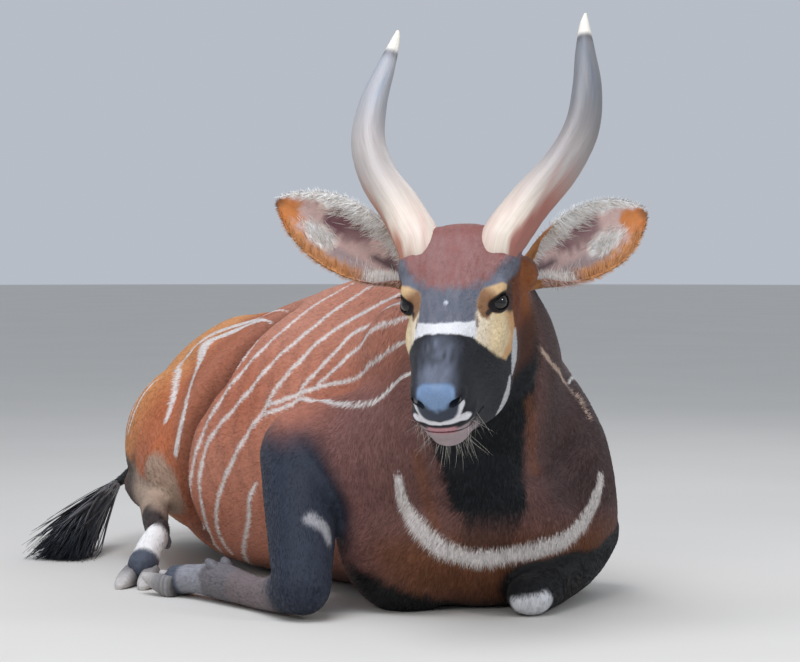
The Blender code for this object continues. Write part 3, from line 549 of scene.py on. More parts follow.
def path_tube(name, stations, across, steps=4, round_ends=True, count=18):
    """A tube along a path of (point, half width, half depth), wide in the given direction."""
    rows = smooth_rows([[*point, wide, deep] for point, wide, deep in stations], steps)
    points = [Vector(row[:3]) for row in rows]

    def ring_at(i, shift, share):
        along = heading(points, i)
        side = (across - along * across.dot(along)).normalized()
        wide, deep = rows[i][3] * share, rows[i][4] * share
        return section(points[i] + along * shift, side, side.cross(along), wide, deep, deep, count=count)

    def cap(i, way, angle):
        angle = math.radians(angle)
        return ring_at(i, way * rows[i][3] * math.sin(angle), math.cos(angle))

    caps = (25, 50, 75) if round_ends else ()
    rings = [cap(0, -1, angle) for angle in reversed(caps)]
    rings += [ring_at(i, 0.0, 1.0) for i in range(len(points))]
    rings += [cap(len(points) - 1, 1, angle) for angle in caps]
    return ring_tube(name, rings)


def ball(name, middle, radii, turn=None, segments=24):
    """An ellipsoid."""
    built = bmesh.new()
    bmesh.ops.create_uvsphere(built, u_segments=segments, v_segments=segments * 2 // 3, radius=1.0)
    matrix = (turn or Matrix.Identity(3)).to_4x4() @ Matrix.Diagonal((*radii, 1.0))
    bmesh.ops.transform(built, matrix=Matrix.Translation(middle) @ matrix, verts=built.verts)
    return from_bmesh(name, built)


def head_ball(name, left, nose, brow, radii, turn=None, segments=24):
    return ball(name, in_head(left, nose, brow), radii, head_turn() @ (turn or Matrix.Identity(3)), segments)


def both_sides(name, left, nose, brow, radii):
    return [head_ball(f"{name}_{side:+d}", left * side, nose, brow, radii) for side in (-1, 1)]


def applied(thing):
    """The object with its modifiers worked into its mesh."""
    graph = bpy.context.evaluated_depsgraph_get()
    mesh = bpy.data.meshes.new_from_object(thing.evaluated_get(graph))
    thing.modifiers.clear()
    old = thing.data
    thing.data = mesh
    bpy.data.meshes.remove(old)
    return thing


def boolean(thing, other, operation):
    step = thing.modifiers.new("Cut", "BOOLEAN")
    step.operation = operation
    step.solver = "MANIFOLD"
    step.object = other
    applied(thing)
    bpy.data.objects.remove(other)
    return thing


def fuse(name, pieces, voxel, smooth):
    """The pieces as one skin: joined, remeshed and smoothed."""
    built = bmesh.new()
    for piece in pieces:
        built.from_mesh(piece.data)
        bpy.data.objects.remove(piece)
    thing = from_bmesh(name, built)
    remesh = thing.modifiers.new("Skin", "REMESH")
    remesh.mode = "VOXEL"
    remesh.voxel_size = voxel
    relax = thing.modifiers.new("Relax", "SMOOTH")
    relax.factor = 0.5
    relax.iterations = smooth
    return applied(thing)


def trunk():
    rings = []
    for y, middle, top, wide, bottom, half, above, below in smooth_rows(TRUNK, 3):
        rings.append(section(Vector((middle, y, wide)), ACROSS, UP, half, top - wide, wide - bottom, above, below, 48))
    return ring_tube("trunk", rings)


def neck():
    rings = []
    rows = smooth_rows([[*middle, half, above, below] for middle, half, above, below in NECK], 3)
    points = [Vector(row[:3]) for row in rows]
    for i, row in enumerate(rows):
        along = heading(points, i)
        side = UP.cross(along).normalized()
        rings.append(section(points[i], side, along.cross(side), row[3], row[4], row[5], count=40))
    return ring_tube("neck_flesh", rings)


def skull():
    rings = []
    for nose, top, wide, bottom, half, above, below in smooth_rows(HEAD, 3):
        middle = in_head(0.0, nose, wide)
        rings.append(section(middle, HEAD_LEFT, HEAD_BROW, half, top - wide, wide - bottom, above, below, 48))
    return ring_tube("skull", rings)


def gaze(side):
    """The way an eye looks, in head axes, and the axis along its lids."""
    look = Vector((0.77 * side, 0.50, 0.40)).normalized()
    along = Vector((-0.58 * side, 0.81, 0.10))
    along = (along - look * along.dot(look)).normalized()
    return look, along


HEAD_MASSES = (
    ("temple", 0.068, -0.066, 0.012, (0.031, 0.050, 0.036)),
    ("brow", 0.070, -0.012, 0.014, (0.017, 0.036, 0.014)),
    ("cheek", 0.050, -0.020, -0.110, (0.032, 0.075, 0.066)),
    ("cheekbone", 0.060, 0.020, -0.045, (0.021, 0.060, 0.026)),
    ("horn_seat", 0.060, -0.094, 0.030, (0.042, 0.042, 0.034)),
    ("ear_seat", 0.080, -0.122, -0.052, (0.030, 0.032, 0.034)),
)
FACE_MASSES = (
    ("eyelid", *EYE_AT, (EYE_RADIUS + LID,) * 3),
    ("nostril_wing", 0.027, 0.177, -0.034, (0.018, 0.026, 0.019)),
    ("lip", 0.028, 0.164, -0.076, (0.024, 0.038, 0.017)),
)


def head_flesh():
    """The head as one skin: its masses smoothed together, then the finer forms laid on them and cut in."""
    masses = [skull()]
    for mass in HEAD_MASSES:
        masses += both_sides(*mass)
    pieces = [fuse("head_masses", masses, HEAD_VOXEL, 16)]
    for mass in FACE_MASSES:
        pieces += both_sides(*mass)
    pieces.append(head_ball("nose_pad", 0.0, 0.186, -0.042, (0.026, 0.022, 0.032)))
    pieces.append(head_ball("chin", 0.0, 0.160, -0.122, (0.034, 0.038, 0.022)))
    head = fuse("head_flesh", pieces, FACE_VOXEL, 7)
    for side in (-1, 1):
        look, along = gaze(side)
        turn = Matrix((look, along, look.cross(along))).transposed()
        spot = Vector(eye_at(side)) + look * (EYE_RADIUS + LID)
        boolean(head, head_ball("lids", *spot, (0.0125, 0.0190, 0.0122), turn, 40), "DIFFERENCE")
        hollow = head_ball("socket", *eye_at(side), (EYE_RADIUS + 0.0004,) * 3, None, 40)
        boolean(head, hollow, "DIFFERENCE")
        tilt = Matrix.Rotation(math.radians(-35.0 * side), 3, "Y") @ Matrix.Rotation(math.radians(20.0 * side), 3, "Z")
        hole = head_ball("nostril", side * 0.029, 0.198, -0.036, (0.0100, 0.0170, 0.0058), tilt, 28)
        boolean(head, hole, "DIFFERENCE")
    line = [(in_head(*spot), 0.010, 0.0009) for spot in MOUTH]
    boolean(head, path_tube("mouth", line, HEAD_NOSE + HEAD_LEFT * 0.01, 4, False, 10), "DIFFERENCE")
    return head


def limb(name, joints, chain):
    return path_tube(name, [joints[key] for key in chain], ACROSS)


def body_flesh():
    """The whole body but the head, as one skin, with the knees, hocks and fetlocks picked out."""
    soft = [trunk(), neck()]
    for place, (middle, radii) in enumerate(LOBES):
        soft.append(ball(f"lobe_{place}", middle, radii))
    for name, (joints, chains) in LEGS.items():
        soft.append(limb(f"{name}_root", joints, chains[0]))
    pieces = [fuse("masses", soft, MASS_VOXEL, 36)]
    for name, (joints, chains) in LEGS.items():
        for chain in chains[1:]:
            pieces.append(limb(f"{name}_{chain[0]}", joints, chain))
        for key, share in (("knee", 0.94), ("hock", 1.08), ("fetlock", 1.05), ("coronet", 0.98)):
            if key in joints:
                spot, radius = joints[key][0], joints[key][1] * share
                pieces.append(ball(f"{name}_{key}_bump", spot, (radius, radius, radius * 0.95)))
    pieces.append(path_tube("tail", TAIL, ACROSS, 3))
    return fuse("body", pieces, SKIN_VOXEL, 7)


def arrays_of(thing):
    """The object's points and its triangles, as arrays."""
    mesh = thing.data
    mesh.calc_loop_triangles()
    points = np.empty(len(mesh.vertices) * 3, np.float32)
    mesh.vertices.foreach_get("co", points)
    faces = np.empty(len(mesh.loop_triangles) * 3, np.int32)
    mesh.loop_triangles.foreach_get("vertices", faces)
    return points.reshape(-1, 3).astype(float), faces.reshape(-1, 3)


def face_cross(points, faces):
    """Each face's outward direction, twice as long as the face's area."""
    start = points[faces[:, 0]]
    return np.cross(points[faces[:, 1]] - start, points[faces[:, 2]] - start)


def point_normals(points, faces):
    """Each point's outward direction, from the faces round it."""
    cross = face_cross(points, faces)
    total = np.zeros_like(points)
    for corner in range(3):
        np.add.at(total, faces[:, corner], cross)
    return unit(total)


def unit(rows):
    return rows / np.maximum(np.linalg.norm(rows, axis=1, keepdims=True), 1e-9)


def square_to(ways, outs):
    """The directions turned to lie square to the others."""
    return unit(ways - outs * (ways * outs).sum(axis=1, keepdims=True))


def mesh_from(name, points, faces):
    """A mesh object from arrays of points and triangles."""
    mesh = bpy.data.meshes.new(name)
    mesh.vertices.add(len(points))
    mesh.vertices.foreach_set("co", np.asarray(points, np.float32).ravel())
    mesh.loops.add(faces.size)
    mesh.loops.foreach_set("vertex_index", np.asarray(faces, np.int32).ravel())
    mesh.polygons.add(len(faces))
    mesh.polygons.foreach_set("loop_start", np.arange(0, faces.size, 3, dtype=np.int32))
    mesh.polygons.foreach_set("use_smooth", np.ones(len(faces), bool))
    mesh.update(calc_edges=True)
    return new_object(name, mesh)


# Fields over the body


def smooth(value, start, end):
    """From 0 at start to 1 at end, eased."""
    share = np.clip((value - start) / (end - start), 0.0, 1.0)
    return share * share * (3.0 - 2.0 * share)


HASH_PRIMES = np.array([73856093, 19349663, 83492791])


def rumple(points, size, seed):
    """Smooth random values from -1 to 1, with bumps of about the given size."""
    grid = points / size
    cell = np.floor(grid).astype(np.int64)
    part = grid - cell
    part = part * part * (3.0 - 2.0 * part)
    total = np.zeros(len(points))
    for corner in itertools.product((0, 1), repeat=points.shape[1]):
        key = (cell + np.array(corner)) @ HASH_PRIMES[: points.shape[1]] + seed * 7919
        key = ((key ^ (key >> 13)) * 1274126177) & 0x7FFFFFFF
        key = (key ^ (key >> 15)) & 0xFFFF
        weight = np.prod(np.where(np.array(corner) == 1, part, 1.0 - part), axis=1)
        total += weight * key / 65535.0
    return total * 2.0 - 1.0


def to_line(points, line):
    """How far each point is from a line of points, and how far along the line it lies, from 0 to 1."""
    line = np.asarray(line, float)
    nearest = np.full(len(points), 1e9)
    along = np.zeros(len(points))
    lengths = np.linalg.norm(np.diff(line, axis=0), axis=1)
    done, whole = 0.0, lengths.sum()
    for start, end, length in zip(line, line[1:], lengths):
        step = end - start
        share = np.clip((points - start) @ step / length**2, 0.0, 1.0)
        away = np.linalg.norm(points - start - share[:, None] * step, axis=1)
        closer = away < nearest
        nearest[closer] = away[closer]
        along[closer] = (done + share[closer] * length) / whole
        done += length
    return nearest, along


def wash(tones, mask, hex_colour):
    """Lays a colour over the tones where the mask says."""
    mask = np.clip(mask, 0.0, 1.0)[:, None]
    return tones * (1.0 - mask) + linear(hex_colour) * mask


def washes(tones, *layers):
    """Lays colours over the tones one after another, each where its own mask says."""
    for mask, hex_colour in layers:
        tones = wash(tones, mask, hex_colour)
    return tones


def blob(points, middle, radius, soft=0.5):
    """1 inside a ball or ellipsoid and 0 outside, with a soft edge."""
    away = np.linalg.norm((points - np.array(middle)) / np.array(radius), axis=1)
    return 1.0 - smooth(away, 1.0 - soft, 1.0)


def leg_place(points, joints, names):
    """How far points are from a leg in its own radii, and how far down it they lie, from 0 to 1."""
    line = np.array([joints[key][0] for key in names])
    size = np.array([joints[key][2] for key in names])
    away, along = to_line(points, line)
    steps = np.concatenate([[0.0], np.cumsum(np.linalg.norm(np.diff(line, axis=0), axis=1))])
    radius = np.interp(along, steps / steps[-1], size)
    return away / radius, along


def turn_of(points):
    """The angle of points up round the trunk, in radians from level."""
    return np.arctan2(points[:, 2] - TRUNK_MIDDLE, np.abs(points[:, 0]))


def round_trunk(points):
    """Points laid flat: how far back they lie, and how far up round the trunk."""
    return np.stack([points[:, 1], turn_of(points) * TRUNK_RADIUS], axis=1)


def trunk_line(places, steps=4):
    """A line of (how far back, angle) laid flat in the same way, and smoothed."""
    return smooth_rows([[back, math.radians(angle) * TRUNK_RADIUS] for back, angle in places], steps)


def behind_fold(points):
    """How far points lie behind the front edge of the haunch, less than nothing before it."""
    flat = round_trunk(points)
    line = np.array(trunk_line(FOLD))
    away, _ = to_line(flat, line)
    order = np.argsort(line[:, 1])
    return away * np.sign(flat[:, 0] - np.interp(flat[:, 1], line[order, 1], line[order, 0]))


def stripe_mask(points):
    """The flank's white stripes, which both sides carry."""
    flat = round_trunk(points)
    found = np.zeros(len(points))
    for place, stripe in enumerate(STRIPES):
        away, along = to_line(flat, trunk_line(stripe))
        half = STRIPE_HALF_WIDTH * STRIPE_SHARES[place] * (1.0 + 0.12 * rumple(points, 0.06, 10 + place))
        half *= 0.75 + 0.25 * smooth(along, 0.0, 0.20) * (1.0 - 0.6 * smooth(along, 0.88, 1.0))
        if place < 2:
            # The two on the haunch start thin and are widest on their way down
            half *= 0.25 + 0.75 * smooth(along, 0.0, 0.14)
            half *= 1.0 + 0.9 * smooth(along, 0.66, 0.46) * smooth(along, 0.04, 0.20)
        found = np.maximum(found, 1.0 - smooth(away, half * 0.60, half * 1.20))
    return found


def leg_tones(points, tones, broad, fine):
    """Lays each leg's colours over the trunk's: dark from the elbow or hock down, with its pale patches."""
    z = points[:, 2]
    rough = 0.07 * broad + 0.03 * fine
    for name, (joints, _) in LEGS.items():
        fore, slate = name.startswith("fore"), name == "fore_right"
        # The left foreleg is painted near black, partly as painted shade; the right one is slate
        dark = LEG_SLATE if slate else LEG_BLACK
        if fore:
            near, along = leg_place(points, joints, ("shoulder", "elbow"))
            # The slate of the upper arm fades into the shoulder above it and in front of it
            arm = (1.0 - smooth(near + rough, 0.70, 1.12)) * smooth(along, 0.35, 0.90) * smooth(z, 0.335, 0.270)
            near, _ = leg_place(points, joints, ("elbow", "forearm", "knee"))
            leg = (1.0 - smooth(near + rough, 1.02, 1.62 if slate else 1.22)) * smooth(z, 0.325, 0.255)
            near, along = leg_place(points, joints, ("knee", "cannon", "fetlock"))
            low = 1.0 - smooth(near, 1.35, 1.75)
            shin = "#75696a" if slate else dark
            tones = washes(tones, (arm * 0.85, dark), (leg, dark), (low, dark), (low * smooth(along, 0.12, 0.34), shin))
        else:
            near, along = leg_place(points, joints, ("stifle", "shank", "hock"))
            leg = 1.0 - smooth(near + rough, 0.95, 1.25)
            tones = wash(tones, leg * smooth(along, 0.30, 0.60) * 0.85, "#6d4a38")
            near, along = leg_place(points, joints, ("hock", "cannon", "fetlock"))
            low = 1.0 - smooth(near + rough, 1.20, 1.60)
            # Painted shade: below the hock, under the haunch, the top of the cannon is darker
            tones = washes(tones, (low, SHANK), (low * smooth(along, 0.42, 0.10) * 0.85, "#3c302e"))
        band = "#6d686c" if slate else "#3a302f"
        tones = wash(tones, low * smooth(along, 0.78, 0.92), band)
        near, along = leg_place(points, joints, ("fetlock", "pastern", "coronet"))
        low = 1.0 - smooth(near, 1.60, 2.00)
        pale = low * smooth(along + 0.04 * fine, 0.18, 0.34) * smooth(along + 0.03 * fine, 0.96, 0.82)
        sock = "#8f8f96" if fore else "#eceae8"
        tones = washes(tones, (low, band), (pale, sock), (low * smooth(along, 0.78, 0.90), "#4f5562"))
    for line, inner, outer, share, hex_colour in PALE_PATCHES:
        away, _ = to_line(points, line)
        tones = wash(tones, (1.0 - smooth(away + 0.004 * fine, inner, outer)) * share, hex_colour)
    return tones


def body_tones(points):
    """The coat's colour at each point of the body, linear."""
    x, y, z = points.T
    turn = np.degrees(turn_of(points))
    broad, fine = rumple(points, 0.11, 1), rumple(points, 0.016, 2)
    behind = behind_fold(points)
    front = smooth(y, 0.06, -0.04)
    low = np.interp(x, (-0.300, -0.268, -0.220, -0.172, -0.097, -0.025), (0.135, 0.116, 0.074, 0.045, 0.024, 0.014))
    tones = washes(
        np.tile(linear(CHESTNUT), (len(points), 1)),
        # Paler chestnut at random, and paler high on the flank as painted light from above
        (0.25 + 0.25 * broad + 0.45 * smooth(turn, 35.0, 65.0) * smooth(y, 0.62, 0.50), CHESTNUT_PALE),
        (smooth(y, 0.52, 0.70) * 0.80, HAUNCH),
        (smooth(y, 0.76, 0.92) * 0.85, RUMP),
        (smooth(y, 0.34, 0.10) * (0.45 + 0.45 * smooth(turn, 50.0, 10.0)), SHOULDER),
        (smooth(y, 0.17, 0.03) * smooth(turn, 60.0, 25.0) * 0.9, MAUVE_BROWN),
        # Painted shade: dark brown along the crease before each haunch, wide on the haunch side
        (np.exp(-((behind / np.where(behind > 0.0, 0.046, 0.007)) ** 2)) * 0.90, FOLD_SHADE_BROWN),
        (smooth(turn, -34.0, -60.0) * smooth(y, 0.15, 0.30) * 0.75, "#3a2a26"),
        # The front: brown neck, darker towards its left side partly as painted shade, black throat, chestnut breast
        (front * 0.9, NECK_BROWN),
        # Darker towards the neck's left side: partly its own colour, partly painted shade
        (front * smooth(x + 0.25 * (z - 0.3), -0.030, 0.070) * smooth(z, 0.12, 0.20) * 0.85, NECK_DARK),
        (front * smooth(z, 0.17, 0.10) * 0.92, BREAST),
        (smooth(y, 0.14, 0.06) * smooth(z - low + 0.006 * fine, 0.010, -0.008), LEG_BLACK),
    )
    # The throat's black is widest below the jaw and softens to brown above the crescent
    away, along = to_line(points, THROAT)
    wide = np.interp(along, (0.0, 0.45, 0.67, 0.86, 1.0), (0.104, 0.092, 0.088, 0.074, 0.052))
    throat = (1.0 - smooth(away + 0.006 * fine, wide * 0.74, wide * 1.02)) * (1.0 - 0.60 * smooth(z, 0.185, 0.130))
    edge = np.interp(z, (0.178, 0.231, 0.280, 0.334, 0.400), (-0.118, -0.153, -0.168, -0.166, -0.158))
    tones = wash(tones, throat * smooth(x - edge, -0.008, 0.010), THROAT_BLACK)
    for strand in THROAT_STRANDS:
        away, _ = to_line(points, strand)
        tones = wash(tones, (1.0 - smooth(away, 0.003, 0.018)) * 0.50, "#7c4c30")
    # The lines of white
    away, along = to_line(points, NECK_LINE)
    crest = (1.0 - smooth(np.abs(x), 0.004, 0.012)) * smooth(turn, 60.0, 80.0) * smooth(y, 0.0, 0.1)
    tones = washes(
        tones,
        ((1.0 - smooth(away, 0.0026, 0.0060)) * 0.85 * smooth(along, 0.0, 0.1), "#d2b8a6"),
        (stripe_mask(points) * 0.93, WHITE_HAIR),
        (crest * 0.5, "#6a3f2a"),
    )
    tones = leg_tones(points, tones, broad, fine)
    away, along = to_line(points, smooth_rows(CRESCENT, 3))
    half = 0.0142 * (0.50 + 0.50 * smooth(along, 0.0, 0.22)) * (0.45 + 0.55 * smooth(along, 1.0, 0.82))
    half *= (1.0 + 0.10 * fine) * (1.0 + 0.18 * smooth(along, 0.45, 0.65))
    tones = wash(tones, (1.0 - smooth(away, half * 0.75, half * 1.30)) * 0.96, "#d9d3d0")
    # The tail darkens to its tuft
    away, along = to_line(points, [point for point, _, _ in TAIL])
    tones = wash(tones, (1.0 - smooth(away, 0.026, 0.034)) * smooth(along, 0.35, 0.75), THROAT_BLACK)
    return tones * (1.0 + 0.07 * fine + 0.05 * broad)[:, None]


def in_polygon(flat, corners, soft):
    """1 inside the convex outline and 0 outside it, with an edge as soft as given."""
    corners = np.array(corners)
    inside = np.full(len(flat), 1e9)
    middle = corners.mean(axis=0)
    for start, end in zip(corners, np.roll(corners, -1, axis=0)):
        step = end - start
        out = np.array([step[1], -step[0]]) / np.linalg.norm(step)
        if (middle - start) @ out > 0:
            out = -out
        inside = np.minimum(inside, -((flat - start) @ out))
    return smooth(inside, -soft, soft)


def eye_place(mirrored):
    """Where points lie in front of an eye: towards its inner corner, and up over its upper lid."""
    look, along = (np.array(way) for way in gaze(1))
    lift = np.cross(look, along)
    away = mirrored - np.array(EYE_AT) - look * EYE_RADIUS
    return away @ along, away @ lift, away @ look


def head_tones(points):
    """The head's colour at each point, linear."""
    place = head_place(points)
    left, nose, brow = place.T
    wide = np.abs(left)
    mirrored = np.stack([wide, nose, brow], axis=1)
    fine = rumple(points, 0.007, 21)
    drawn = rumple(place * (1.0, 0.22, 1.0), 0.0055, 23)
    rough = 0.0022 * rumple(points, 0.010, 22) + 0.0012 * fine
    # Behind the face the cheeks and the side of the head are brown, darkened in part as painted shade
    side = smooth(nose + 0.30 * (brow + 0.09), 0.012, -0.022) * smooth(brow, 0.030, 0.000)
    side = np.maximum(side, smooth(wide, 0.073, 0.081) * smooth(nose, -0.008, -0.022) * smooth(brow, 0.020, 0.006))
    # The top of the head from its crown: chestnut, slate, white bar, dark muzzle
    bar_top, bar_bottom = 0.088 - 11.0 * left**2, 0.108 - 7.0 * left**2
    top = smooth(brow + 0.30 * (0.06 - nose), -0.022, -0.012) * (1.0 - side)
    top *= smooth(nose + rough, bar_top + 0.006, bar_top)
    edge = 0.018 - 10.0 * left**2
    crown = top * smooth(nose + rough * 2.0 + 0.004 * drawn, edge + 0.012, edge - 0.010)
    # The muzzle is black at its sides, with a grey bridge in faint streaks that is partly painted sheen
    bridge = smooth(wide, 0.040, 0.012) * smooth(brow, -0.045, -0.012)
    # The tan patches under the eyes are creamier beside the bar
    flat = np.stack([nose, brow], axis=1) + rough[:, None]
    tan = in_polygon(flat, TAN_PATCH, 0.0035) * smooth(wide, 0.043, 0.048)
    orange = np.maximum(smooth(nose, 0.016, -0.012), smooth(brow, -0.066, -0.088))
    bar = smooth(nose + rough, bar_top - 0.002, bar_top + 0.001)
    bar *= smooth(nose + rough, bar_bottom + 0.001, bar_bottom - 0.002)
    # The lids are tan above the eye and brown towards the nose, under a thin brown line
    inner, over, _ = eye_place(mirrored)
    near = np.linalg.norm(mirrored - np.array(EYE_AT), axis=1) < 0.075
    lid = np.sqrt(((inner - 0.002) / np.where(inner > 0.002, 0.044, 0.034)) ** 2 + ((over - 0.002) / 0.0270) ** 2)
    lid = near * (1.0 - smooth(lid + rough * 20.0, 0.90, 1.05)) * smooth(over + 0.25 * inner, -0.006, 0.002)
    line_over, _ = to_line(mirrored, LID_LINE)
    # Painted shade: a dark brown patch behind the eye's outer corner
    outer = np.sqrt(((inner + 0.030) / 0.017) ** 2 + ((over + 0.006) / 0.030) ** 2)
    # Dark bare skin round the eye, drawn out at its inner corner
    ring = np.sqrt((inner / 0.0225) ** 2 + (over / 0.0158) ** 2) + rough * 15.0
    tear = np.sqrt((np.maximum(np.abs(inner - 0.024) - 0.007, 0.0) / 0.005) ** 2 + ((over + 0.004) / 0.0042) ** 2)
    tones = washes(
        np.tile(linear(MUZZLE_DARK), (len(points), 1)),
        # The grey bridge in streaks: partly its own grey, partly painted sheen from above
        (bridge * (0.42 + 0.35 * drawn) * smooth(nose, 0.100, 0.125), MUZZLE_GREY_SHEEN),
        # Painted sheen on the bridge near the nose pad
        (bridge * smooth(nose, 0.150, 0.175) * 0.6, MUZZLE_GREY_SHEEN),
        # The side of the head brown, darkened in part as painted shade
        (side, SIDE_ORANGE),
        (side * smooth(nose, -0.055, -0.105) * 0.6, "#9a5e33"),
        (side * smooth(brow, -0.085, -0.120) * 0.7, "#2e211f"),
        (smooth(brow, -0.150, -0.185) * smooth(nose, 0.030, -0.010), THROAT_BLACK),
        (top, FACE_SLATE),
        (crown * 0.92, FOREHEAD),
        # Pale grey streaks of frosted hair over the top of the head, partly painted sheen
        (top * (0.07 + 0.10 * drawn), "#a9a3a6"),
        (top * smooth(nose, -0.070, -0.100) * 0.35, "#7c3f33"),
        (tan, TAN),
        (tan * smooth(wide, 0.070, 0.052) * 0.6, "#ece2d2"),
        (tan * orange * 0.75, "#c98f55"),
        (bar * smooth(brow, -0.030, -0.020) * smooth(wide, 0.050, 0.046), "#dcdcde"),
        (lid, "#c7a77c"),
        (lid * smooth(inner, 0.000, 0.016) * 0.85, "#7b5238"),
        (lid * smooth(inner, -0.016, -0.028) * 0.6, "#8a5c38"),
        ((1.0 - smooth(line_over, 0.0012, 0.0044)) * 0.75, "#563626"),
        # Painted shade behind the eye's outer corner
        (near * (1.0 - smooth(outer, 0.65, 1.10)), "#4c3429"),
        (near * (1.0 - smooth(ring, 0.96, 1.12)), "#171215"),
        (near * (1.0 - smooth(tear, 0.75, 1.15)) * 0.9, "#1d181c"),
        # A white spot between the eyes
        (blob(place, (0.000, 0.047, 0.032), (0.0050, 0.0055, 0.012), 0.6) * 0.85, "#c9ced6"),
    )
    for line, half in CHEEK_SPOTS:
        away, along = to_line(mirrored, line)
        taper = half * (0.35 + 0.65 * np.sin(np.pi * np.clip(0.10 + 0.80 * along, 0.0, 1.0)))
        tones = wash(tones, 1.0 - smooth(away + rough * 0.5, taper * 0.7, taper * 1.2), "#c3c4c6")
    for line, half in WHITE_LIPS:
        away, along = to_line(mirrored, line)
        taper = half * (0.45 + 0.55 * smooth(along, 0.0, 0.35)) * (1.0 - 0.35 * smooth(along, 0.85, 1.0))
        tones = wash(tones, 1.0 - smooth(away + rough * 0.4, taper * 0.75, taper * 1.15), "#dcdbe0")
    # The nose pad with a painted reflection of the sky over its upper part, the pale chin and the pink of the lips
    pad = (wide / 0.033) ** 3 + (np.abs(brow + 0.038) / 0.031) ** 3 + (np.abs(nose - 0.198) / 0.032) ** 3
    pad = 1.0 - smooth(pad ** (1.0 / 3.0) + 4.0 * rough, 0.90, 1.06)
    # Painted reflection: the upper part of the wet pad is painted sky blue
    upper = smooth(brow - 0.70 * wide + rough * 2.0, -0.056, -0.042) * smooth(wide, 0.033, 0.026)
    chin = smooth(nose, 0.128, 0.150) * smooth(brow, -0.084, -0.090) * smooth(wide, 0.046, 0.034)
    pink = smooth(nose, 0.165, 0.180) * smooth(wide, 0.027, 0.018)
    pink *= 1.0 - smooth(np.abs(brow + 0.089), 0.005, 0.009)
    tones = washes(tones, (pad, NOSE_BLACK), (pad * upper, NOSE_SKY_REFLECTION), (chin * 0.95, CHIN), (pink, LIP_PINK))
    return tones * (1.0 + 0.06 * fine)[:, None]


def in_skull(points):
    """1 on the head and 0 on the body, turning smoothly behind the jaw."""
    left, nose, brow = head_place(points).T
    table = np.array(HEAD)
    bottom = np.interp(nose, table[:, 0], table[:, 3])
    deep = smooth(brow - bottom, -0.016, -0.006)
    back = smooth((nose + 0.140) * 0.95 + brow * 0.31, -0.020, 0.020)
    beside = 1.0 - smooth(np.abs(left), 0.088, 0.100) * smooth(brow, -0.130, -0.160)
    return deep * back * beside * (np.abs(left) < 0.16) * (nose < 0.24) * (brow < 0.12)


def skin_tones(points):
    mask = in_skull(points)[:, None]
    return body_tones(points) * (1.0 - mask) + head_tones(points) * mask


def hair_lines():
    """The way the hair lies: lines from start to end, and how thick that part is."""
    found = [
        ((0.0, -0.02, 0.30), (0.0, 1.10, 0.22), 0.26),
        ((-0.110, -0.130, 0.540), (0.010, 0.120, 0.330), 0.12),
        ((-0.100, -0.180, 0.420), (0.000, -0.070, 0.080), 0.08),
    ]
    for joints, chains in LEGS.values():
        for chain in chains:
            for first, second in zip(chain, chain[1:]):
                found.append((tuple(joints[first][0]), tuple(joints[second][0]), joints[second][2]))
        for (start, _, _), (end, half, _) in zip(TAIL, TAIL[1:]):
            found.append((tuple(start), tuple(end), half))
    return found


LIE = hair_lines()


def hair_lie(points, normals):
    """The direction of the hair at each point, along the skin."""
    total = np.zeros_like(points)
    for start, end, size in LIE:
        step = np.array(end) - np.array(start)
        away, _ = to_line(points, (start, end))
        total += unit(step[None, :]) / np.maximum(away / size, 0.3)[:, None] ** 6
    total = unit(total)
    total[:, 2] -= 0.22
    left, _, up = head_place(points).T
    face = -HEAD_ROWS[1] - HEAD_ROWS[2] * (0.55 * smooth(up, 0.0, -0.10))[:, None]
    face = face + HEAD_ROWS[0] * (np.sign(left) * 0.35 * smooth(np.abs(left), 0.0, 0.06))[:, None]
    mask = in_skull(points)[:, None]
    total = total * (1.0 - mask) + unit(face) * mask
    total += 0.18 * np.stack([rumple(points, 0.045, seed) for seed in (31, 32, 33)], axis=1)
    return square_to(total, normals)


def folded(points, normals):
    """Presses the skin's folds in: behind the elbow, before the haunch, at the throat and over the ribs."""
    behind = behind_fold(points)
    y, z = points[:, 1], points[:, 2]
    depth = 0.0190 * np.exp(-((behind / np.where(behind > 0.0, 0.040, 0.011)) ** 2)) * smooth(z, 0.05, 0.12)
    mirrored = points.copy()
    mirrored[:, 0] = -np.abs(mirrored[:, 0])
    for line, deep, wide in (
        (((-0.200, 0.330, 0.400), (-0.250, 0.320, 0.300), (-0.262, 0.300, 0.200)), 0.0030, 0.024),
        (((-0.185, 0.030, 0.330), (-0.200, -0.010, 0.250), (-0.190, -0.020, 0.160)), 0.0030, 0.020),
    ):
        away, _ = to_line(mirrored, line)
        depth += deep * np.exp(-((away / wide) ** 2))
    ribs = smooth(y, 0.22, 0.30) * smooth(y, 0.62, 0.52) * smooth(z, 0.12, 0.18) * smooth(z, 0.46, 0.40)
    depth += ribs * 0.0010 * np.sin(2.0 * math.pi * (y - 0.25 * z) / 0.042)
    depth += 0.0012 * rumple(points, 0.055, 41)
    return points - normals * depth[:, None]


def set_tones(mesh, tones, name="Markings"):
    """Keeps a linear colour for each point of the mesh."""
    layer = mesh.color_attributes.new(name, "FLOAT_COLOR", "POINT")
    values = np.ones((len(tones), 4), np.float32)
    values[:, :3] = np.clip(tones, 0.0, 1.0)
    layer.data.foreach_set("color", values.ravel())


def set_share(mesh, name, values):
    """Keeps one number for each point of the mesh."""
    layer = mesh.attributes.new(name, "FLOAT", "POINT")
    layer.data.foreach_set("value", np.asarray(values, np.float32))


# Materials


def node(tree, kind, settings=None, links=None):
    """Adds a node with its settings and what feeds its sockets."""
    made = tree.nodes.new(kind)
    for key, value in (settings or {}).items():
        if isinstance(key, str) and hasattr(made, key):
            setattr(made, key, value)
        else:
            made.inputs[key].default_value = value
    for key, source in (links or {}).items():
        tree.links.new(source, made.inputs[key])
    return made


def new_material(name, settings):
    material = bpy.data.materials.new(name)
    material.use_nodes = True
    tree = material.node_tree
    shader = tree.nodes["Principled BSDF"]
    for key, value in settings.items():
        shader.inputs[key].default_value = value
    return material, tree, shader


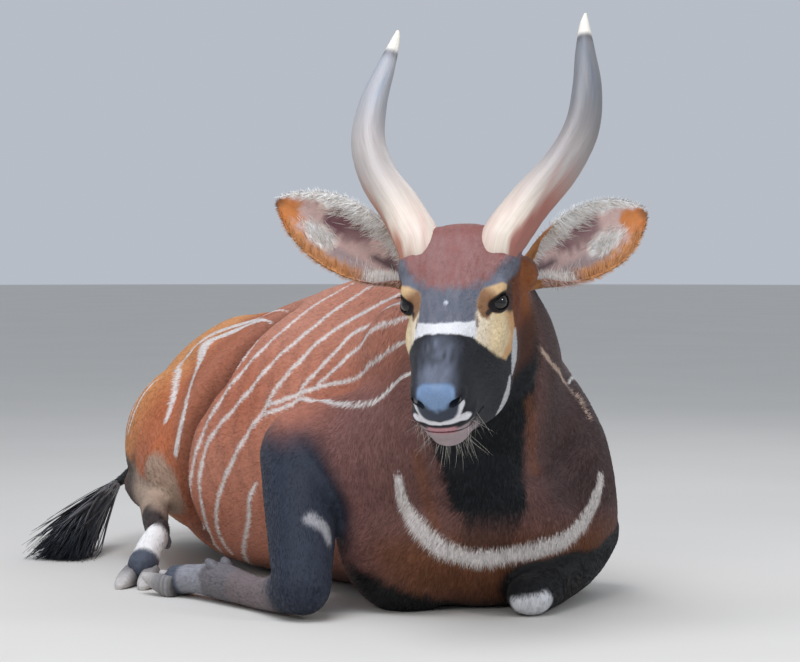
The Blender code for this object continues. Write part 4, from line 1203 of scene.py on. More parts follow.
def marked(name, settings, scale, low, high, stretch=None, unwrapped=False):
    """A material in its mesh's own colours, flecked by fine noise that may be drawn out one way."""
    material, tree, shader = new_material(name, settings)
    tones = node(tree, "ShaderNodeAttribute", {"attribute_name": "Markings"}).outputs["Color"]
    if unwrapped:
        places = node(tree, "ShaderNodeUVMap", {"uv_map": "OFBake"}).outputs[0]
    else:
        places = node(tree, "ShaderNodeTexCoord").outputs["Object"]
    drawn = places
    if stretch:
        drawn = node(tree, "ShaderNodeMapping", {"Scale": stretch}, {"Vector": places}).outputs[0]
    noise = node(tree, "ShaderNodeTexNoise", {"Scale": scale, "Detail": 3.0}, {"Vector": drawn})
    spread = node(tree, "ShaderNodeMapRange", {"To Min": low, "To Max": high}, {0: noise.outputs[0]})
    flecked = node(tree, "ShaderNodeVectorMath", {"operation": "SCALE"}, {0: tones, "Scale": spread.outputs[0]})
    tree.links.new(flecked.outputs[0], shader.inputs["Base Color"])
    return material, tree, shader, places, drawn


def grain(tree, shader, wear, low, high, height, strength, depth):
    """Roughness that follows the wear, and bumps that follow the height."""
    rough = node(tree, "ShaderNodeMapRange", {"To Min": low, "To Max": high}, {0: wear}).outputs[0]
    tree.links.new(rough, shader.inputs["Roughness"])
    bump = node(tree, "ShaderNodeBump", {"Strength": strength, "Distance": depth}, {"Height": height})
    tree.links.new(bump.outputs[0], shader.inputs["Normal"])


def skin_hide():
    """Hide with its under-hair: dull and finely grained, but wet and pebbled on the nose pad."""
    settings = {"IOR": 1.45, "Specular IOR Level": 0.3, "Sheen Weight": 0.06, "Sheen Roughness": 0.5}
    # Under-hair strands are about 1.5 mm apart, drawn out along the body
    strands_apart = (650.0, 110.0, 420.0)
    material, tree, shader, places, drawn = marked("hide_under_coat", settings, 1.0, 0.80, 1.18, strands_apart)
    wet = node(tree, "ShaderNodeAttribute", {"attribute_name": "Wet"}).outputs["Fac"]
    strands = node(tree, "ShaderNodeTexNoise", {"Scale": 1.0, "Detail": 2.0}, {"Vector": drawn}).outputs[0]
    # The nose pad's pebbles are about 1.6 mm
    pebbles = node(tree, "ShaderNodeTexVoronoi", {"Scale": 620.0}, {"Vector": places}).outputs["Distance"]
    height = node(tree, "ShaderNodeMix", {"data_type": "FLOAT"}, {0: wet, 2: strands, 3: pebbles}).outputs[0]
    grain(tree, shader, wet, 0.68, 0.24, height, 0.35, 0.0008)
    return material


def hair_coat(name, roughness, sheen):
    """Hair in flat tufts: each carries its root's colour, with a soft sheen along the body."""
    settings = {"IOR": 1.5, "Specular IOR Level": 0.2, "Roughness": roughness}
    settings.update({"Sheen Weight": sheen, "Sheen Roughness": 0.45})
    # Tones change about every 4 mm, over several tufts
    return marked(name, settings, 260.0, 0.84, 1.16)[0]


def horn_keratin():
    """Horn: polished keratin with long fibres, its roughness and bumps following the fibres."""
    settings = {"IOR": 1.54, "Coat Weight": 0.12, "Coat Roughness": 0.25}
    # Fibres 1 to 2 mm wide run 60 mm or more along the horn
    along_horn = (90.0, 9.0, 1.0)
    material, tree, shader, _, drawn = marked("horn_keratin", settings, 1.0, 0.74, 1.20, along_horn, True)
    fibres = node(tree, "ShaderNodeTexNoise", {"Scale": 1.0, "Detail": 4.0}, {"Vector": drawn}).outputs[0]
    grain(tree, shader, fibres, 0.36, 0.62, fibres, 0.45, 0.0012)
    return material


def hoof_keratin():
    """Hoof: dull dark keratin with growth rings and scuffed edges."""
    material, tree, shader, places, _ = marked("hoof_keratin", {"IOR": 1.54}, 180.0, 0.70, 1.25)
    # Scuffs are about 2 mm
    scuffs = node(tree, "ShaderNodeTexNoise", {"Scale": 420.0, "Detail": 4.0}, {"Vector": places}).outputs[0]
    grain(tree, shader, scuffs, 0.42, 0.75, scuffs, 0.3, 0.0006)
    return material


def wet_eye():
    """The eye: a dark iris and a level pupil under a clear wet front."""
    settings = {"IOR": 1.376, "Roughness": 0.20, "Specular IOR Level": 0.2}
    settings.update({"Coat Weight": 1.0, "Coat Roughness": 0.02, "Coat IOR": 1.5})
    # The iris is flecked about every millimetre
    return marked("wet_eye", settings, 900.0, 0.75, 1.25)[0]


# The pieces


def put(thing, material, slot, *nodes):
    """Gives a finished piece its material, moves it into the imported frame, and lets it ride there."""
    thing.data.materials.clear()
    thing.data.materials.append(material)
    thing.data.transform(Matrix.Translation(SHIFT))
    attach(thing, "root")
    if nodes:
        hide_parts(*nodes)
    return thing


def creases(points, faces):
    """The points along the crease where the head's skin meets the neck's."""
    normal = unit(face_cross(points, faces))
    ends = np.concatenate([faces[:, [0, 1]], faces[:, [1, 2]], faces[:, [2, 0]]])
    owner = np.tile(np.arange(len(faces)), 3)
    order = np.lexsort((ends.max(axis=1), ends.min(axis=1)))
    ends, owner = np.sort(ends, axis=1)[order], owner[order]
    pair = (ends[:-1] == ends[1:]).all(axis=1)
    bent = (normal[owner[:-1]][pair] * normal[owner[1:]][pair]).sum(axis=1) < 0.88
    spots = ends[:-1][pair][bent].ravel()
    left, nose, brow = head_place(points)[spots].T
    keep = (nose < -0.035) | (brow < -0.165)
    keep &= (nose > -0.26) & (np.abs(left) < 0.15) & (brow > -0.26) & (nose < 0.06)
    return np.unique(spots[keep])


def smooth_join(points, faces):
    """Softens the crease where the head's skin meets the neck's."""
    spots = creases(points, faces)
    if not len(spots):
        return points
    tree = KDTree(len(spots))
    for i, spot in enumerate(points[spots]):
        tree.insert(spot, i)
    tree.balance()
    close = np.linalg.norm(head_place(points) - np.array([0.0, -0.11, -0.08]), axis=1) < 0.26
    away = np.zeros(len(points))
    for i in np.nonzero(close)[0]:
        away[i] = tree.find(points[i])[2]
    weight = np.where(close, 1.0 - smooth(away, 0.010, 0.040), 0.0)[:, None]
    first, second = faces.T.ravel(), np.roll(faces, -1, axis=1).T.ravel()
    size = len(points)
    count = np.bincount(first, minlength=size)[:, None]
    for _ in range(60):
        sums = [np.bincount(first, weights=points[second, axis], minlength=size) for axis in range(3)]
        points = points + weight * 0.6 * (np.stack(sums, axis=1) / count - points)
    return points


def make_skin():
    """One skin over the whole animal, just inside the solids by the depth of its coat."""
    skin = boolean(body_flesh(), head_flesh(), "UNION")
    points, faces = arrays_of(skin)
    bpy.data.objects.remove(skin)
    points = smooth_join(points, faces)
    normals = point_normals(points, faces)
    head = in_skull(points)
    points = np.where((head > 0.5)[:, None], points, folded(points, normals))
    normals = point_normals(points, faces)
    depth = COAT_DEPTH * (1.0 - head) + FACE_COAT_DEPTH * head
    points -= normals * depth[:, None]
    points[:, 2] = np.maximum(points[:, 2], LOWEST_SKIN)
    normals = point_normals(points, faces)
    skin = mesh_from("skin", points, faces)
    set_tones(skin.data, skin_tones(points))
    set_share(skin.data, "Wet", blob(half_place(points), NOSE_PAD, (0.038, 0.036, 0.042), 0.25))
    others = ("eye_", "ear_", "horn_", "tail_tuft")
    flesh = [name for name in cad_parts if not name.startswith(others) and "hoof" not in name]
    put(skin, skin_hide(), "body_coat", *flesh)
    return points, faces, normals


def sown(points, faces, normals, chance, count, rng, *values):
    """Random roots on the faces, the way out from each, and the points' values there."""
    weight = np.linalg.norm(face_cross(points, faces), axis=1) * chance[faces].mean(axis=1)
    chosen = rng.choice(len(faces), count, p=weight / weight.sum())
    shares = rng.random((count, 2))
    over = shares.sum(axis=1) > 1.0
    shares[over] = 1.0 - shares[over]
    shares = np.column_stack([1.0 - shares.sum(axis=1), shares])
    found = [(each[faces[chosen]] * shares[:, :, None]).sum(axis=1) for each in (points, normals, *values)]
    found[1] = unit(found[1])
    return found


def set_unwrap(mesh, corners):
    """Keeps where each face corner lies on the flat, for baking."""
    layer = mesh.uv_layers.new(name="OFBake")
    layer.data.foreach_set("uv", corners.astype(np.float32).ravel())


TUFT_FACES = np.array([(1, 3, 2), (0, 2, 3), (1, 2, 0), (0, 3, 1)])


def tufts(name, roots, normals, ways, long, wide, tones, lift, flat, rng):
    """Short locks of hair: each a thin ridged blade whose root is sunk in the skin."""
    count = len(roots)
    across = unit(np.cross(normals, ways))
    root = roots - normals * 0.0007
    ridge = roots + ways * (long * 0.38)[:, None] + normals * (0.22 * wide + lift * long * 0.45)[:, None]
    tip = roots + ways * long[:, None] + normals * (lift * long)[:, None]
    corners = np.stack([root + across * wide[:, None] / 2, root - across * wide[:, None] / 2, ridge, tip], axis=1)
    corners[:, :, 2] = np.maximum(corners[:, :, 2], 0.0)
    faces = (np.arange(count)[:, None, None] * 4 + TUFT_FACES[None]).reshape(-1, 3)
    thing = mesh_from(name, corners.reshape(-1, 3), faces)
    shade = 1.0 + 0.13 * rng.standard_normal(count)
    shades = shade[:, None, None] * np.array([0.86, 0.86, 1.0, 1.10])[None, :, None]
    set_tones(thing.data, (tones[:, None, :] * shades).reshape(-1, 3))
    bent = unit(normals + 0.20 * rng.standard_normal((count, 3)) + 0.10 * ways)
    faced = np.repeat(bent, 4, axis=0)
    thing.data.normals_split_custom_set_from_vertices(faced.tolist())
    patch = np.array([(0.0, 0.0), (0.003, 0.0), (0.0015, 0.0012), (0.0015, 0.003)])
    places = flat[:, None, :] * 0.99 + patch[None]
    set_unwrap(thing.data, places.reshape(-1, 2)[faces])
    return thing


def unwrapped(points):
    """Where points lie on the body's skin laid flat: round the trunk, and from chest to rump."""
    turn = np.arctan2(points[:, 0], points[:, 2] - TRUNK_MIDDLE)
    return np.stack([turn / (2.0 * math.pi) + 0.5, (points[:, 1] + 0.35) / 1.6], axis=1)


def head_unwrapped(points):
    left, nose, brow = head_place(points).T
    return np.stack([np.arctan2(left, brow + 0.07) / (2.0 * math.pi) + 0.5, (nose + 0.25) / 0.5], axis=1)


def make_coat(points, faces, normals):
    """The short coat over the skin, in one piece for each part of the body."""
    head = in_skull(points)
    mirrored = half_place(points)
    _, nose, brow = mirrored.T
    legs = np.zeros(len(points))
    for name, (joints, _) in LEGS.items():
        upper = ("elbow", "forearm", "knee") if name.startswith("fore") else ("shank", "hock")
        near, _ = leg_place(points, joints, (*upper, "cannon", "fetlock", "pastern", "coronet"))
        legs = np.maximum(legs, 1.0 - smooth(near, 1.10, 1.35))
    # No hair on the nose pad, the lid rims, inside the nostrils or the mouth, or under the body
    bare = blob(mirrored, NOSE_PAD, (0.037, 0.036, 0.042), 0.15)
    away = np.linalg.norm(mirrored - np.array(EYE_AT), axis=1)
    bare = np.maximum(bare, 1.0 - smooth(away, 0.0205, 0.0225))
    bare = np.maximum(bare, smooth(nose, 0.10, 0.12) * (1.0 - smooth(np.abs(brow + 0.098), 0.004, 0.007)) * head)
    grown = (1.0 - bare) * smooth(points[:, 2], 0.002, 0.006)
    y = points[:, 1]
    torso = (1.0 - head) * (1.0 - legs)
    where = {
        "coat_front": torso * (y < 0.10),
        "coat_shoulders": torso * ((y >= 0.10) & (y < 0.38)),
        "coat_flanks": torso * ((y >= 0.38) & (y < 0.68)),
        "coat_haunches": torso * (y >= 0.68),
        "coat_legs": (1.0 - head) * legs,
        "coat_head": head,
    }
    for order, (name, (count, long, broad, slot)) in enumerate(COAT.items()):
        rng = np.random.default_rng(100 + order)
        roots, outs = sown(points, faces, normals, where[name] * grown, count, rng)
        ways = hair_lie(roots, outs)
        ways = square_to(unit(ways + 0.16 * rng.standard_normal((count, 3))), outs)
        tones = skin_tones(roots)
        length = long * (0.70 + 0.60 * rng.random(count))
        width = broad * (0.75 + 0.50 * rng.random(count))
        if name == "coat_head":
            spot = half_place(roots)
            near_eye = np.linalg.norm(spot - np.array(EYE_AT), axis=1)
            short = np.maximum(smooth(spot[:, 1], 0.06, 0.17), 1.0 - smooth(near_eye, 0.024, 0.040))
            length *= 1.0 - 0.50 * short
            width *= 1.0 - 0.30 * short
            flat = head_unwrapped(roots)
        else:
            flat = unwrapped(roots)
            length *= 1.0 + 0.35 * smooth(roots[:, 2], 0.12, 0.04) * (name != "coat_legs")
        lift = 0.045 + 0.06 * rng.random(count)
        coat = tufts(name, roots, outs, ways, length, width, tones, lift, flat, rng)
        put(coat, hair_coat(name, 0.50, 0.06), slot)


def long_locks(name, roots, ways, outs, long, wide, thick, tones, droop, rng, material, slot, *nodes):
    """Long flat locks that taper and bend down along their length."""
    shares = np.array([0.0, 0.18, 0.42, 0.70, 1.0])
    breadth = np.array([0.7, 1.0, 0.92, 0.60, 0.06])
    count, steps = len(roots), len(shares)
    across = unit(np.cross(outs, ways))
    rings = []
    curl = rng.standard_normal((count, 1)) * 0.10
    for share, broad in zip(shares, breadth):
        middle = roots + ways * (long * share)[:, None] + across * curl * (long * share * share)[:, None]
        middle[:, 2] -= droop * share * share
        half = across * (wide * broad / 2)[:, None]
        deep = outs * (thick * (1.0 - 0.7 * share) / 2)[:, None]
        rings.append(np.stack([middle + half, middle + deep, middle - half, middle - deep], axis=1))
    points = np.stack(rings, axis=1)
    points[..., 2] = np.maximum(points[..., 2], LOWEST_LOCK)
    faces = []
    for step in range(steps - 1):
        for k in range(4):
            a, b = step * 4 + k, step * 4 + (k + 1) % 4
            faces += [(a, a + 4, b + 4), (a, b + 4, b)]
    faces += [(0, 1, 2), (0, 2, 3)]
    last = (steps - 1) * 4
    faces += [(last, last + 2, last + 1), (last, last + 3, last + 2)]
    size = steps * 4
    every = (np.arange(count)[:, None, None] * size + np.array(faces)[None]).reshape(-1, 3)
    thing = mesh_from(name, points.reshape(-1, 3), every)
    shade = (1.0 + 0.16 * rng.standard_normal(count))[:, None, None] * np.repeat(0.85 + 0.30 * shares, 4)[None, :, None]
    if tones.ndim == 2:
        tones = np.repeat(tones[:, None, :], size, axis=1)
    set_tones(thing.data, (tones * shade).reshape(-1, 3))
    grid = int(math.ceil(math.sqrt(count)))
    cell = np.stack([(np.arange(count) % grid) / grid, (np.arange(count) // grid) / grid], axis=1)
    patch = np.stack([np.tile(np.array([0.0, 0.3, 0.6, 0.9]), steps), np.repeat(shares * 0.9, 4)], axis=1) / grid
    places = cell[:, None, :] + patch[None]
    set_unwrap(thing.data, places.reshape(-1, 2)[every])
    return put(thing, material, slot, *nodes)


def blend(tone, share, other):
    return tone * (1.0 - share) + other * share


def make_horn(word, side):
    """A horn on a winding path, with a keel that turns half way round it, and long fibres."""
    back = -HEAD_NOSE * math.cos(HORN_RISE) + HEAD_BROW * math.sin(HORN_RISE)
    start = in_head(0.0, *HORN_START)
    lean, longer = HORN_LEAN[word]
    rows = smooth_rows([[out + lean * (far / 0.4) ** 2, far * longer, thick] for out, far, thick in HORN], 14)
    # Below the hairline the base dips into the skull
    dips = [0.022 * (max(0.0, -row[1]) / 0.030) ** 2 for row in rows]
    path = [start + HEAD_LEFT * side * row[0] + back * row[1] - HEAD_BROW * dip for row, dip in zip(rows, dips)]
    red_brown, grey, blue = (linear(hex_colour) for hex_colour in HORN_TONES[word])
    cream, rose, ivory, ring_brown = (linear(tone) for tone in ("#e4d8c8", "#c9a79c", "#e9e3d6", "#4a4044"))
    travelled = np.concatenate([[0.0], np.cumsum([(b - a).length for a, b in zip(path, path[1:])])])
    angle = np.linspace(0.0, 2.0 * math.pi, HORN_SIDES, endpoint=False)
    points, tones, flat = [], [], []
    for i, (_, _, thick) in enumerate(rows):
        along = heading(path, i)
        across = (HEAD_LEFT * side - along * HEAD_LEFT.dot(along) * side).normalized()
        up = across.cross(along) * side
        share = travelled[i] / travelled[-1]
        turned = angle - math.radians(200.0) * i / len(rows)
        keel = 1.0 + HORN_KEEL * np.maximum(0.0, np.cos(turned)) ** 5
        far = np.full(HORN_SIDES, travelled[i] * 6.0)
        ring_places = np.stack([np.cos(turned) * 1.6, np.sin(turned) * 1.6, far], axis=1)
        relief = rumple(ring_places, 0.16, 51 + side) * 0.012 + rumple(ring_places, 0.9, 53 + side) * 0.012
        waves = 0.012 * math.sin(travelled[i] * 2.0 * math.pi / 0.021) * (1.0 - share) ** 2
        radius = HORN_BASE_RADIUS * thick * (keel + relief * (1.0 - share * 0.6) + waves * 0.6) * 0.985
        if share < 0.06:
            radius = radius * (1.0 + 0.06 * (1.0 - share / 0.06))
        out = np.outer(np.cos(angle) * radius, across) + np.outer(np.sin(angle) * radius, up)
        points.append(np.array([path[i]]) + out)
        # The front and inside of the base are cream, the outside red brown and partly painted shade; above it greys to
        # an ivory tip
        outside = 0.5 + 0.5 * np.cos(angle - 0.25)
        rear = 0.5 - 0.5 * np.sin(angle)
        patch = rumple(ring_places, 0.5, 61 + side)
        facet = 0.40 + 0.14 * float(smooth(share, 0.05, 0.30))
        dark = smooth(outside * 0.65 + rear * 0.35 + 0.16 * patch, facet, facet + 0.18)
        dark *= 1.0 - float(smooth(share, 0.30, 0.52))
        tone = np.tile(cream, (HORN_SIDES, 1)) * (1.0 + 0.06 * patch)[:, None]
        tone = blend(tone, np.clip(0.45 + 0.5 * patch, 0.0, 1.0)[:, None] * (1.0 - smooth(share, 0.15, 0.5)), rose)
        tone = blend(tone, 0.75 * float(smooth(share, 0.18, 0.48)), grey)
        tone = blend(tone, float(smooth(share, 0.50, 0.75)) * (0.6 + 0.3 * patch)[:, None], blue)
        tone = blend(tone, dark[:, None], red_brown)
        # Painted shade: the left horn darkens up its length
        if word == "left":
            tone = tone * (1.0 - 0.38 * float(smooth(share, 0.40, 0.62)))
        tone = blend(tone, math.exp(-(((share - 0.905) / 0.018) ** 2)) * 0.55, ring_brown)
        tones.append(blend(tone, float(smooth(share + 0.01 * patch.mean(), 0.905, 0.930)), ivory))
        flat.append(np.stack([angle / (2.0 * math.pi), np.full(HORN_SIDES, travelled[i] / 0.6)], axis=1))
    thing = grid_tube(f"horn_{word}_keratin", np.array(points), np.array(tones), np.array(flat))
    return put(thing, HORN_MATERIAL, "horn", f"horn_{word}")


def grid_tube(name, points, tones, flat):
    """A closed tube from a grid of rings, with a colour for each point and its own unwrap."""
    rows, sides = points.shape[:2]
    ring = np.arange(sides)
    after = (ring + 1) % sides
    starts = np.arange(rows - 1)[:, None] * sides
    first, beside = (starts + ring[None]).ravel(), (starts + after[None]).ravel()
    total, last = rows * sides, (rows - 1) * sides
    faces = np.concatenate(
        [
            np.stack([first, beside, beside + sides], 1),
            np.stack([first, beside + sides, first + sides], 1),
            np.stack([after, ring, np.full(sides, total)], 1),
            np.stack([last + ring, last + after, np.full(sides, total + 1)], 1),
        ]
    )

    def with_ends(grid):
        middles = [grid[0].mean(axis=0), grid[-1].mean(axis=0)]
        return np.concatenate([grid.reshape(-1, grid.shape[2]), np.array(middles)])

    spots = with_ends(points)
    cross = np.cross(spots[faces[:, 1]], spots[faces[:, 2]])
    if (spots[faces[:, 0]] * cross).sum() < 0:
        faces = faces[:, ::-1]
    thing = mesh_from(name, spots, faces)
    set_tones(thing.data, with_ends(tones))
    corner = with_ends(flat)[faces]
    wrap = (corner[:, :, 0].max(axis=1) - corner[:, :, 0].min(axis=1)) > 0.5
    corner[wrap, :, 0] = np.where(corner[wrap, :, 0] < 0.5, corner[wrap, :, 0] + 1.0, corner[wrap, :, 0])
    set_unwrap(thing.data, corner)
    return thing


def ear_grid(word):
    """An ear's rings of points, with how far along and how far up each lies and whether it is inside."""
    root, aim, rim_up = EARS[word]
    root, aim = in_head(*root), Vector(aim).normalized()
    face = (EAR_OPENING - aim * EAR_OPENING.dot(aim)).normalized()
    across = np.array(aim.cross(face))
    half_count = 15
    grid, known = [], []
    for share, half, spread, lean in smooth_rows(EAR, 7):
        spread = math.radians(spread)
        middle = np.array(root + aim * share * EAR_LENGTH + face * lean)
        radius = half / math.sin(min(spread, math.pi / 2))
        thick = EAR_THICK * (1.0 - 0.45 * share) / 2
        deepest = 0.0016 * math.sin(math.pi * min(1.0, max(0.0, share)))
        ring = []
        for order in (1, -1):
            for k in range(half_count):
                part = (k / (half_count - 1) * 2.0 - 1.0) * order
                angle = spread * part
                fold = deepest * math.sin(part * 7.0 + share * 9.0) * (1.0 if order < 0 else 0.4)
                reach = radius + thick * order * (1.0 - 0.5 * abs(part) ** 4) + fold
                out = np.array(face) * (radius * math.cos(spread) - reach * math.cos(angle))
                ring.append(middle + across * reach * math.sin(angle) + out)
                known.append((share, part * rim_up, float(order < 0)))
        grid.append(ring)
    return np.array(grid), np.array(known), np.array(aim), across


def make_ear(word):
    """A cupped ear with long pale hair inside it, a dark hollow, and an orange back and tip."""
    grid, known, aim, across = ear_grid(word)
    rim_up = EARS[word][2]
    rows, around = grid.shape[:2]
    tones = ear_tones(grid.reshape(-1, 3), *known.T)
    ring = np.tile(np.arange(around) / around, (rows, 1))
    flat = np.stack([ring, np.tile(np.linspace(0.0, 0.95, rows)[:, None], (1, around))], axis=2)
    thing = grid_tube(f"ear_{word}_hide", grid, tones.reshape(*grid.shape[:2], 3), flat)
    points, faces = arrays_of(thing)
    put(thing, EAR_MATERIAL, "ear_coat", f"ear_{word}")
    # Short hair over the back, and long hair along the rims and the lower inside
    normals = point_normals(points, faces)
    known = np.concatenate([known, np.zeros((2, 3))])
    share, turn, inner = known.T
    inside = inner > 0.5
    rng = np.random.default_rng(71 if word == "right" else 72)
    chance = np.where(inside, 0.10 + 0.9 * smooth(np.abs(turn), 0.45, 0.75), 1.0) * smooth(share, 0.02, 0.08)
    roots, outs, values = sown(points, faces, normals, chance, EAR_TUFTS, rng, known)
    ways = aim + across * (values[:, 1] * rim_up * 0.9)[:, None] + 0.20 * rng.standard_normal(roots.shape)
    ways = square_to(ways, outs)
    tones = ear_tones(roots, *values.T)
    length = 0.007 * (0.7 + 0.6 * rng.random(EAR_TUFTS))
    flat = [values[:, 1] * 0.24 + 0.25 + 0.5 * (values[:, 2] > 0.5), np.clip(values[:, 0], 0, 1) * 0.95]
    lift = 0.05 + 0.10 * rng.random(EAR_TUFTS)
    width = np.full(EAR_TUFTS, 0.0010)
    coat = tufts(f"ear_{word}_coat", roots, outs, ways, length, width, tones, lift, np.stack(flat, axis=1), rng)
    put(coat, hair_coat(f"ear_{word}_hair", 0.55, 0.15), "ear_coat")
    # The fringe: long hair from the rims inwards and outwards
    low = smooth(turn, -0.2, -0.6) * smooth(share, 0.45, 0.25) * smooth(share, 0.05, 0.15)
    upper = smooth(turn, 0.38, 0.55) * np.where(share < 0.35, smooth(turn, 0.85, 0.72), 1.0)
    upper = upper * smooth(share, 0.75, 0.50) * smooth(share, 0.03, 0.10)
    patch = np.sqrt(((share - 0.67) / 0.14) ** 2 + ((turn + 0.26) / 0.30) ** 2)
    chance = 0.7 * smooth(np.abs(turn), 0.72, 0.97) * smooth(share, 0.05, 0.12) + 0.30 * inside * low
    chance = chance * np.where((share < 0.35) & (turn > 0.5), 0.1, 1.0)
    chance = chance + 0.60 * inside * (1.0 - smooth(patch, 0.6, 1.1)) + 0.80 * inside * upper
    roots, outs, values = sown(points, faces, normals, chance, FRINGE_HAIRS, rng, known)
    share, turn, inner = values.T
    inward = (inner > 0.5) & (rng.random(FRINGE_HAIRS) < 0.75)
    along = (0.35 + 0.45 * smooth(share, 0.30, 0.60))[:, None]
    aside = (np.where(inward, -0.8, 0.55) * turn * rim_up)[:, None]
    ways = unit(aim * along + across * aside + outs * 0.25 + 0.18 * rng.standard_normal(roots.shape))
    outs = square_to(outs, ways)
    tones = ear_tones(roots, share, turn, np.ones(FRINGE_HAIRS))
    white = inward & ((turn > 0.3) | (share < 0.30) | (turn > -0.50))
    tones = np.where(white[:, None], wash(tones, np.full(FRINGE_HAIRS, 0.85), EAR_WHITE), tones)
    long = np.where(inward, 0.020, 0.009) * (0.6 + 0.7 * rng.random(FRINGE_HAIRS))
    long *= 0.65 + 0.35 * smooth(share, 1.0, 0.8)
    wide, thick, droop = (np.full(FRINGE_HAIRS, size) for size in (0.0011, 0.0004, 0.0))
    hair = (roots - ways * 0.001, ways, outs, long, wide, thick, tones, droop, rng)
    long_locks(f"ear_{word}_fringe", *hair, hair_coat(f"ear_{word}_long_hair", 0.5, 0.2), "ear_coat")


def ear_tones(points, shares, turns, inner):
    """The ear's colours: turns is 1 at its upper rim and -1 at its lower one."""
    fine = rumple(points, 0.006, 81)
    patch = rumple(points, 0.022, 82)
    edge = 0.16 * rumple(points, 0.009, 83) + 0.07 * fine

    def spot(share, turn, long, wide):
        away = np.sqrt(((shares - share) / long) ** 2 + ((turns - turn) / wide) ** 2)
        return 1.0 - smooth(away + edge, 0.75, 1.10)

    outer = washes(
        np.tile(linear("#94602f"), (len(points), 1)),
        (smooth(shares, 0.55, 0.95) * 0.55, "#4b3226"),
        (smooth(turns, 0.80, 0.97) * smooth(shares, 0.25, 0.4) * 0.8, EAR_WHITE),
    )
    opening = smooth(shares, 0.15, 0.40)
    upper = smooth(turns + edge, 0.40 + 0.16 * opening, 0.56 + 0.14 * opening)
    cup = washes(
        np.tile(linear("#b39a96"), (len(points), 1)),
        (0.35 + 0.5 * patch, "#c3aaa4"),
        (spot(0.45, -0.50, 0.22, 0.34) * 0.8, "#8f8285"),
        (spot(0.54, 0.32, 0.19, 0.36) * (0.85 + 0.25 * patch), "#66464d"),
        (spot(0.67, -0.26, 0.12, 0.26), EAR_WHITE),
        (spot(0.20, 0.02, 0.14, 0.14) * 0.85, "#4b3a44"),
        (spot(0.13, -0.42, 0.15, 0.34) * 0.9, EAR_WHITE),
        (upper * smooth(shares, 0.03, 0.10), EAR_WHITE),
        (smooth(turns + edge * 0.5, 0.70, 0.80) * smooth(shares, 0.40, 0.28), "#9a5c2c"),
        (smooth(turns + edge, -0.50, -0.74) * smooth(shares, 0.22, 0.38) * 0.9, "#b98048"),
        (smooth(shares + 0.4 * edge, 0.80, 0.88) * smooth(turns + edge, 0.55, 0.35) * 0.95, "#b5713a"),
        (smooth(shares, 0.93, 1.0) * smooth(turns, 0.6, 0.3) * 0.6, "#3d2a22"),
    )
    tones = np.where((inner > 0.5)[:, None], np.minimum(cup * 1.40, 1.0), outer)
    return tones * (1.0 + 0.08 * fine)[:, None]


def make_eye(word, side):
    """An eye that looks out to its side, with a level pupil and a slightly raised clear front."""
    look, along = gaze(side)
    turn = Matrix((look, along, look.cross(along))).transposed()
    built = bmesh.new()
    bmesh.ops.create_uvsphere(built, u_segments=64, v_segments=48, radius=EYE_RADIUS)
    for vert in built.verts:
        away = vert.co.normalized().angle(Vector((1.0, 0.0, 0.0)))
        vert.co *= 1.0 + 0.035 * max(0.0, 1.0 - (away / 0.75) ** 2)
    thing = from_bmesh(f"eye_{word}_globe", built)
    points, _ = arrays_of(thing)
    way = unit(points)
    level, rise = (np.arctan2(way[:, axis], way[:, 0]) for axis in (1, 2))
    away = np.arccos(np.clip(way[:, 0], -1.0, 1.0))
    iris = 1.0 - smooth(away, 0.74, 0.80)
    round_iris = np.arctan2(way[:, 2], way[:, 1])
    rays = rumple(np.stack([np.cos(round_iris) * 3.0, np.sin(round_iris) * 3.0, away], axis=1), 0.25, 91)
    tones = wash(np.tile(linear("#0c090a"), (len(points), 1)), iris, "#180d09")
    tones = tones * (1.0 + 0.35 * rays * iris)[:, None]
    pupil = np.where(np.abs(level) < 1.5, (level / 0.46) ** 2 + (rise / 0.26) ** 2, 9.0)
    set_tones(thing.data, wash(tones, 1.0 - smooth(pupil, 0.85, 1.15), "#050506"))
    thing.data.shade_smooth()
    thing.data.transform(Matrix.Translation(in_head(*eye_at(side))) @ (head_turn() @ turn).to_4x4())
    return put(thing, EYE_MATERIAL, "eye", f"eye_{word}")


